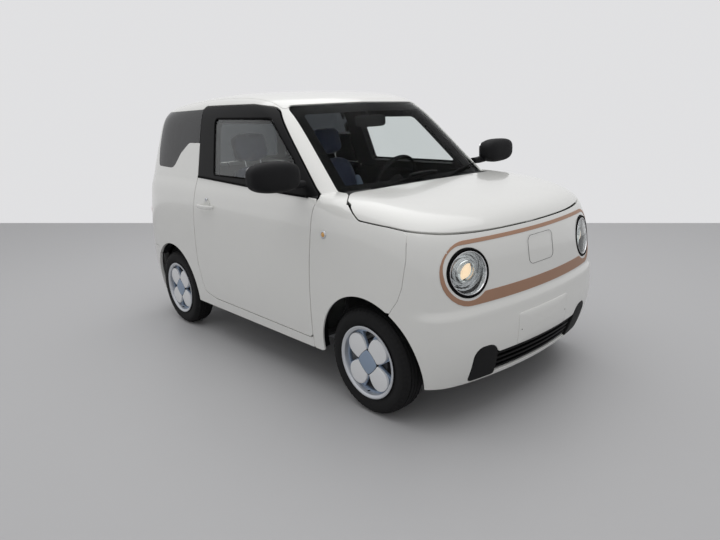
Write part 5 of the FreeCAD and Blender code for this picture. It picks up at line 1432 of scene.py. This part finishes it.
shell = pillow("mirrorShell", mirror["centre"], mirror["size"], 3.6, 0, (64, 36), mirrorForm, 3.2)
pair(shell, "door_{}_body", "mirrorPlastic", "mirror_shell", "mirror_{}")
x, z = squircle(np.linspace(0, 2 * math.pi, 72, endpoint=False), 4.5)
rows = []
for share, sink in ((1.0, 0.006), (1.0, 0.0), (0.985, -0.0012), (0.97, -0.0012), (0.4, -0.0002),
                    (0.001, 0.0)):
    rows.append(np.stack([mirror["centre"][0] + x * 0.118 * share,
                          np.full_like(x, mirror["centre"][1] + 0.0535 - sink),
                          mirror["centre"][2] - 0.001 + z * 0.0625 * share], 1))
pair(gridMesh("mirrorGlass", np.stack(rows), closeV=True, merge=True, sharp=50), "door_{}_body", "chrome",
     "mirror_shell", "mirror_{}")
armPath = smoothLine([(-0.836, mirror["armY"] - 0.004, 1.112), (-0.80, mirror["armY"], 1.105),
                      (-0.75, mirror["armY"], 1.101), (-0.712, mirror["armY"], 1.101),
                      (-0.6985, mirror["armY"], 1.101)], 6)
arm = sweptPiece("mirrorArm", armPath, roundSection(0.052, 0.036, 3, 24),
                 np.linspace(1.2, 1.0, len(armPath)))
pair(arm, "door_{}_body", "mirrorPlastic", "mirror_shell", "mirror_{}")

handle = {"y": 0.413, "z": 0.914, "length": 0.17, "stand": 0.03}
span = np.linspace(-1, 1, 33)
hy = handle["y"] + span * handle["length"] / 2
hx = sideX(hy, handle["z"]) - handle["stand"] * (1 - np.abs(span) ** 5) - 0.004
grip = sweptPiece("doorHandle",
                  np.stack([hx + 0.003 * (np.abs(span) > 0.98), hy, np.full_like(hy, handle["z"])], 1),
                  roundSection(0.012, 0.026, 2.6, 24), 1 - 0.35 * np.abs(span) ** 6)
pair(grip, "door_{}_body", "paint", "paint", "door_{}")
cupAt = np.array([sideX(handle["y"], handle["z"]) - 0.0004, handle["y"] - 0.005, handle["z"]])
cup = turnedPiece("handleCup", [(0, -0.0005), (0.02, -0.0004), (0.034, 0.0003), (0.0375, 0.0006),
                                (0.0385, 0.0), (0.0385, -0.002), (0, -0.002)], cupAt, (-1, 0, 0.05), 48)
pair(cup, "door_{}_body", "paint", "paint", "door_{}")
lockAt = np.array([sideX(0.415, 0.955), 0.415, 0.955])
lock = turnedPiece("doorLock", [(0, 0.0015), (0.0045, 0.0015), (0.005, 0.0035), (0.0105, 0.0035),
                                (0.0115, 0.002), (0.0115, -0.002), (0, -0.002)], lockAt, (-1, 0, 0.05), 32)
pair(lock, "door_{}_body", "silver", "steel", "door_{}")
signAt = np.array([sideX(-0.769, 0.87), -0.769, 0.87])
sign = turnedPiece("sideIndicator", [(0, 0.0065), (0.006, 0.006), (0.0105, 0.0045), (0.0125, 0.002),
                                     (0.0125, -0.002), (0, -0.002)], signAt, (-1, 0, 0.06), 40)
pair(sign, "body", "amber", "lamp", "fender_{}")
signRing = turnedPiece("sideIndicatorRing", [(0.0128, -0.002), (0.0128, 0.0035), (0.0145, 0.0045),
                                             (0.0185, 0.003), (0.0205, 0.0), (0.0205, -0.002),
                                             (0.0128, -0.002)], signAt, (-1, 0, 0.06), 48)
pair(signRing, "body", "silver", "lamp", "fender_{}")
print("trim ready")


# Seats
seat = {"x": 0.33, "width": 0.46, "front": -0.11, "rear": 0.36, "low": 0.33, "high": 0.52,
        "backThick": 0.13, "backTop": 1.14, "lean": 16, "headWidth": 0.25, "headHeight": 0.19,
        "headDepth": 0.11, "headGap": 0.02, "shrink": 0.012, "swell": 0.011, "voxel": 0.008,
        "pressure": 4.0}
bench = {"width": 1.0, "front": 0.68, "rear": 1.15, "low": 0.446, "high": 0.60, "backTop": 1.01,
         "thick": 0.10, "lean": 14}


# Padding: the mesh is remeshed into small even faces, blown up a little as cloth, and every point is kept
# within a short way of where it began
def padded(thing, fill, look, slot, body, *replaced):
    remesh = thing.modifiers.new("even", "REMESH")
    remesh.mode = "VOXEL"
    remesh.voxel_size = seat["voxel"]
    applied(thing)
    count = len(thing.data.vertices)
    before = np.empty(count * 3, np.float32)
    thing.data.vertices.foreach_get("co", before)
    cloth = thing.modifiers.new("filling", "CLOTH")
    cloth.settings.use_pressure = True
    cloth.settings.uniform_pressure_force = seat["pressure"]
    cloth.settings.effector_weights.gravity = 0
    cloth.settings.quality = 2
    cloth.collision_settings.use_collision = False
    cloth.point_cache.frame_start, cloth.point_cache.frame_end = 1, 20
    for frameNow in range(1, 21):
        bpy.context.scene.frame_set(frameNow)
    applied(thing)
    after = np.empty(count * 3, np.float32)
    thing.data.vertices.foreach_get("co", after)
    move = (after - before).reshape(-1, 3)
    length = np.linalg.norm(move, axis=1, keepdims=True)
    move *= np.minimum(1, seat["swell"] / np.maximum(length, 1e-9))
    thing.data.vertices.foreach_set("co", (before.reshape(-1, 3) + move).ravel())
    thing.data.update()
    bpy.context.scene.frame_set(1)
    finish(thing, body, look, slot, *replaced)
    thing.data.shade_smooth()
    return thing


# The mesh as its modifiers leave it, in place of the one before
def applied(thing):
    graph = bpy.context.evaluated_depsgraph_get()
    mesh = bpy.data.meshes.new_from_object(thing.evaluated_get(graph))
    old = thing.data
    thing.modifiers.clear()
    thing.data = mesh
    bpy.data.meshes.remove(old)


# A cushion block: a superellipsoid whose top is hollowed along its middle and raised at its sides
def cushionBlock(name, centre, size, lean=0.0, hollow=0.0, face=(2, 1), channel=None, taper=0.0):
    axis, sign = face

    def pull(unit):
        unit = unit.copy()
        x, other = unit[..., 0], unit[..., 3 - axis]
        side = np.clip(unit[..., axis] * sign, 0, 1)
        unit[..., axis] -= sign * hollow * side * (1 - np.abs(x) ** 3)
        if channel:
            for place in channel:
                unit[..., axis] -= sign * 0.10 * side * np.exp(-((other - place) / 0.035) ** 2)
            for place in (-0.56, 0.56):
                unit[..., axis] -= sign * 0.12 * side * np.exp(-((x - place) / 0.03) ** 2)
        unit[..., 0] *= 1 - taper * (unit[..., 2] + 1) / 2
        return unit

    return pillow(name, centre, size, 5.5, lean, (112, 64), pull, 4.5)


# Sizes less the room that the filling takes up
def shrunk(*sizes):
    return [s - seat["shrink"] for s in sizes]


backHeight = (seat["backTop"] - seat["high"] + 0.035) / math.cos(math.radians(seat["lean"]))
leanSin, leanCos = math.sin(math.radians(seat["lean"])), math.cos(math.radians(seat["lean"]))
backFoot = np.array([0, seat["rear"] - seat["backThick"] / 2, seat["high"] - 0.035])
alongBack = np.array([0, leanSin, leanCos])


# The left seat's padding is the right one's, moved across
def seatPadding(label, centre, size, fill, look, lean=0.0, *cushion):
    shift = np.array([-seat["x"], 0, 0])
    if cushion:
        block = cushionBlock(label + "Right", centre + shift, size, lean, *cushion)
    else:
        block = pillow(label + "Right", centre + shift, size, 3.2, lean, (40, 32))
    padded(block, fill, look, "navy_fabric", "body", "front_seat_right")
    mesh = block.data.copy()
    mesh.transform(Matrix.Translation((2 * seat["x"], 0, 0)))
    twin = bpy.data.objects.new(label + "Left", mesh)
    bpy.context.scene.collection.objects.link(twin)
    finish(twin, "body", look, "navy_fabric", "front_seat_left")


seatPadding("seatCushion", (0, (seat["front"] + seat["rear"]) / 2, (seat["low"] + seat["high"]) / 2),
            shrunk(seat["width"], seat["rear"] - seat["front"], seat["high"] - seat["low"]), 0.6, "navy", 0,
            0.22, (2, 1), (-0.45, 0.1, 0.62))
seatPadding("seatBack", backFoot + alongBack * backHeight / 2,
            shrunk(seat["width"], seat["backThick"], backHeight),
            0.6, "navy", seat["lean"], 0.30, (1, -1), (-0.35, 0.25), 0.14)
headFoot = backFoot + alongBack * (backHeight + seat["headGap"])
seatPadding("headRest", headFoot + alongBack * seat["headHeight"] / 2,
            shrunk(seat["headWidth"], seat["headDepth"], seat["headHeight"]), 0.7, "navy", seat["lean"],
            0.12, (1, -1))
# The pale side panels of the back, over the navy ones
for k, edge in ((0, -1), (1, 1)):
    aside = np.array([edge * 0.186, -0.046 * leanCos, 0.046 * leanSin])
    place = backFoot + alongBack * backHeight * 0.42 + aside
    seatPadding(f"seatWing{k}", place, (0.075, 0.05, backHeight * 0.66), 0.7, "paleBlue", seat["lean"])
for hand, side in (("Right", -1), ("Left", 1)):
    node = f"front_seat_{hand.lower()}"
    shift = np.array([side * seat["x"], 0, 0])
    for k, px in ((0, -0.06), (1, 0.06)):
        start = headFoot + shift + np.array([px, 0, 0]) - alongBack * 0.05
        post = sweptPiece(f"headPost{hand}{k}", np.stack([start, start + alongBack * 0.1]),
                          roundSection(0.012, 0.012, 2, 16), upward=(0, 1, 0))
        finish(post, "body", "chrome", "steel", node)
    base = pillow("seatBase" + hand, (shift[0], 0.15, 0.285), (0.37, 0.40, 0.13), 8, 0, (48, 20))
    finish(base, "body", "interior", "interior", node)
benchMiddle = (0, (bench["front"] + bench["rear"]) / 2, (bench["low"] + bench["high"]) / 2)
benchSize = shrunk(bench["width"], bench["rear"] - bench["front"], bench["high"] - bench["low"])
cushion = cushionBlock("benchCushion", benchMiddle, benchSize, 0, 0.12, (2, 1), (-0.3, 0.4))
padded(cushion, 0.6, "navy", "navy_fabric", "body", "rear_bench")
benchLean = math.radians(bench["lean"])
height = (bench["backTop"] - bench["high"] + 0.035) / math.cos(benchLean)
foot = np.array([0, bench["rear"] - bench["thick"], bench["high"] - 0.035])
centre = foot + np.array([0, math.sin(benchLean), math.cos(benchLean)]) * height / 2
back = cushionBlock("benchBack", centre, shrunk(bench["width"], bench["thick"], height), bench["lean"],
                    0.15, (1, -1), (-0.3, 0.4))
padded(back, 0.6, "navy", "navy_fabric", "body", "rear_bench")
print("seats ready")


# Dashboard, steering wheel and inner mirror
dash = {"half": 0.62, "bow": 0.035, "columns": 48,
        "section": [(-0.672, 1.008, 0.02), (-0.47, 1.012, 0.045), (-0.432, 0.955, 0.03),
                    (-0.448, 0.90, 0.02), (-0.432, 0.86, 0.02), (-0.436, 0.77, 0.04), (-0.60, 0.702, 0.05),
                    (-0.672, 0.702, 0.02)]}
line = outlineLine(dash["section"], 8)
x = dash["half"] * np.sin(np.linspace(-math.pi / 2, math.pi / 2, dash["columns"]))
pull = dash["bow"] * (1 - (x / dash["half"]) ** 2)
points = np.stack(np.broadcast_arrays(x[:, None], line[None, :, 0], line[None, :, 1]), -1)
points[..., 1] -= pull[:, None] * (points[..., 2] > 0.9) * 0.4
panelPiece = gridMesh("dashPanel", points, closeV=True, capEnds=True, sharp=45)
finish(panelPiece, "body", "interior", "interior", "dashboard")
screen = pillow("dashScreen", (0.30, -0.478, 1.03), (0.26, 0.02, 0.075), 9, -12, (48, 12))
finish(screen, "body", "blackTrim", "black_trim", "dashboard")
for k, vx in enumerate((-0.5, -0.08, 0.08, 0.545)):
    vent = pillow(f"dashVent{k}", (vx, -0.437, 0.93), (0.11, 0.02, 0.045), 6, 0, (40, 10))
    finish(vent, "body", "blackTrim", "black_trim", "dashboard")
steer = {"x": 0.33, "y": -0.195, "z": 0.986, "radius": 0.18, "tilt": 25}
tilt = math.radians(steer["tilt"])
axis = np.array([0, math.cos(tilt), math.sin(tilt)])
hub = np.array([steer["x"], steer["y"], steer["z"]])
turnFrame = frameAlong(axis)
angle = np.linspace(0, 2 * math.pi, 96, endpoint=False)
circle = np.cos(angle)[:, None] * turnFrame[:, 0] + np.sin(angle)[:, None] * turnFrame[:, 1]
ringPath = hub + steer["radius"] * circle
rimPiece = sweptPiece("steeringRim", ringPath, roundSection(0.026, 0.028, 2.2, 20), upward=axis,
                      closed=True)
finish(rimPiece, "steering_wheel_body", "interior", "interior", "steering_wheel")
pad = turnedPiece("steeringPad", [(0, 0.006), (0.03, 0.0045), (0.052, -0.001), (0.058, -0.008),
                                  (0.056, -0.03), (0.04, -0.045), (0, -0.045)], hub, axis, 48)
finish(pad, "steering_wheel_body", "interior", "interior", "steering_wheel")
for k, turnTo in enumerate((0, math.pi, -math.pi / 2)):
    way = math.cos(turnTo) * turnFrame[:, 0] + math.sin(turnTo) * turnFrame[:, 1]
    reach = np.linspace(0.045, steer["radius"] - 0.004, 12)
    path = hub + reach[:, None] * way - axis * (0.012 * (1 - reach / steer["radius"]))[:, None]
    spoke = sweptPiece(f"steeringSpoke{k}", path, roundSection(0.032, 0.012, 3, 20),
                       1.1 - 0.25 * np.sin(np.linspace(0, math.pi, 12)), upward=axis)
    finish(spoke, "steering_wheel_body", "silver" if k < 2 else "interior", "interior", "steering_wheel")
columnEnd = hub - axis * 0.046
column = sweptPiece("steeringColumn", np.stack([hub - axis * 0.33, columnEnd]),
                    roundSection(0.036, 0.036, 2, 24))
finish(column, "body", "interior", "interior", "dashboard")
glass = pillow("innerMirrorGlass", (0, -0.3175, 1.39), (0.236, 0.006, 0.058), 5, 0, (56, 10))
finish(glass, "body", "chrome", "mirror_shell", "inner_mirror")
shellPiece = pillow("innerMirrorShell", (0, -0.331, 1.39), (0.25, 0.026, 0.07), 5, 0, (56, 20))
finish(shellPiece, "body", "blackTrim", "mirror_shell", "inner_mirror")
stalkWay = np.array([0, math.sin(math.radians(40)), math.cos(math.radians(40))])
stalkPath = np.array([0, -0.331, 1.40]) + np.array([0, 0.06, 0.12, 0.15])[:, None] * stalkWay
stalk = sweptPiece("innerMirrorStalk", smoothLine(stalkPath, 6), roundSection(0.018, 0.018, 2, 16),
                   upward=(1, 0, 0))
finish(stalk, "body", "blackTrim", "mirror_shell", "inner_mirror")
print("cabin ready")


# Wipers, window seals and belt strips
# Points on the screen, moved out along its normal
def screenPlace(x, z, proud):
    y = screenY(x, z)
    out = np.array([0, -1.0, form["screenRake"]]) / math.hypot(1, form["screenRake"])
    return np.stack([x, y, z], -1) + out * proud


for k, (pivot, tip) in enumerate((((-0.42, 1.052), (0.10, 1.085)), ((0.09, 1.052), (0.52, 1.10)))):
    t = np.linspace(0, 1, 24)
    bx = pivot[0] + (tip[0] - pivot[0]) * t
    bz = pivot[1] + (tip[1] - pivot[1]) * t
    blade = sweptPiece(f"wiperBlade{k}", screenPlace(bx, bz, 0.008), roundSection(0.010, 0.011, 3, 12),
                       1 - 0.4 * np.abs(2 * t - 1) ** 3)
    finish(blade, "body", "seal", "black_trim")
    armX, armZ = bx[:13], bz[:13] - 0.014 * (1 - t[:13] * 2)
    armPiece = sweptPiece(f"wiperArm{k}", screenPlace(armX, armZ, 0.018), roundSection(0.014, 0.009, 3, 12),
                          1.2 - 0.4 * t[:13] * 2)
    finish(armPiece, "body", "seal", "black_trim")
    place = screenPlace(np.array(pivot[0]), np.array(pivot[1] - 0.014), 0.0)
    boss = turnedPiece(f"wiperPivot{k}", [(0, 0.024), (0.01, 0.023), (0.014, 0.018), (0.015, 0), (0, 0)],
                       place, (0, -1.0, form["screenRake"]), 24)
    finish(boss, "body", "seal", "black_trim")
sealCorners = [(a * carLength, b * carHeight, r * carHeight) for a, b, r in outlines["window"]]
fine = steppedLine(outlineLine(grownCorners(sealCorners, -0.004), 9), 4)
keep = np.concatenate([[True], np.linalg.norm(np.diff(fine, axis=0), axis=1) > 1e-4])
fine = fine[keep]
path = np.stack([-cabinSideX(fine[:, 0], fine[:, 1], 0.003), fine[:, 0], fine[:, 1]], 1)
loop = sweptPiece("windowSeal", path, roundSection(0.010, 0.007, 3, 10), upward=(-1.0, 0, 0), closed=True)
pair(loop, "door_{}_body", "seal", "black_trim", "door_{}")
beltY = np.linspace(-0.60, 0.555, 60)
beltX = -widest(np.full_like(beltY, 0.7), cabinSideX(beltY, beltLine(beltY)))
strip = sweptPiece("beltStrip", np.stack([beltX - 0.0015, beltY, beltLine(beltY) + 0.003], 1),
                   roundSection(0.007, 0.013, 3, 14))
pair(strip, "door_{}_body", "seal", "black_trim")
print("wipers ready")


# Room, light and camera
room = {"floor": (0.50, 0.50, 0.505), "sky": 0.52, "seen": 0.76, "reach": 60,
        "edge": ((-0.555, 8.013), (5.224, -0.726))}
start, end = [np.array(corner) for corner in room["edge"]]
along = (end - start) / np.linalg.norm(end - start)
toFront = np.array([along[1], -along[0]])
corners = [start - along * room["reach"], end + along * room["reach"]]
corners += [corners[1] + toFront * room["reach"], corners[0] + toFront * room["reach"]]
mesh = bpy.data.meshes.new("studioFloor")
mesh.from_pydata([(*corner, 0) for corner in corners], [], [(3, 2, 1, 0)])
floor = bpy.data.objects.new("studioFloor", mesh)
bpy.context.scene.collection.objects.link(floor)
floor.data.materials.append(grained("studioFloor", room["floor"], 0.5, scale=30, depth=0.01, mottle=0.02))

# The world lights the car softly, and is seen paler by the camera and in glass and gloss
world = bpy.data.worlds.new("studio")
bpy.context.scene.world = world
world.use_nodes = True
sky = world.node_tree
sky.nodes["Background"].inputs["Color"].default_value = (0.985, 0.985, 1, 1)
rays = sky.nodes.new("ShaderNodeLightPath")
seen = mathNode(sky, "MAXIMUM", rays.outputs["Is Camera Ray"], rays.outputs["Is Glossy Ray"])
seen = mathNode(sky, "MAXIMUM", seen, rays.outputs["Is Transmission Ray"])
strength = mathNode(sky, "MULTIPLY_ADD", seen, room["seen"] - room["sky"])
strength.node.inputs[2].default_value = room["sky"]
link(sky, strength, sky.nodes["Background"].inputs["Strength"])


# An area light at a place, turned to look at another
def softBox(name, place, aim, width, depth, power):
    light = bpy.data.lights.new(name, "AREA")
    light.shape = "RECTANGLE"
    light.size, light.size_y, light.energy = width, depth, power
    thing = bpy.data.objects.new(name, light)
    bpy.context.scene.collection.objects.link(thing)
    thing.location = place
    thing.rotation_euler = (Vector(aim) - Vector(place)).to_track_quat("-Z", "Y").to_euler()


softBox("ceiling", (0, 0, 5), (0, 0, 0), 7, 7, 150)

view = {"place": (-2.48355, -2.98970, 1.42286), "yaw": 41.4345, "pitch": -14.733, "roll": -2.7277,
        "lens": 29.3165}
camera = bpy.data.objects.new("camera", bpy.data.cameras.new("camera"))
bpy.context.scene.collection.objects.link(camera)
yaw, pitch, roll = [math.radians(view[key]) for key in ("yaw", "pitch", "roll")]
ahead = Vector((math.sin(yaw) * math.cos(pitch), math.cos(yaw) * math.cos(pitch), math.sin(pitch)))
right = ahead.cross(Vector((0, 0, 1))).normalized()
up = right.cross(ahead)
right, up = right * math.cos(roll) + up * math.sin(roll), up * math.cos(roll) - right * math.sin(roll)
turned = Matrix((right, up, -ahead)).transposed().to_4x4()
camera.matrix_world = Matrix.Translation(view["place"]) @ turned
camera.data.sensor_width = 36
camera.data.lens = view["lens"]
bpy.context.scene.camera = camera
bpy.context.scene.view_settings.view_transform = "Standard"
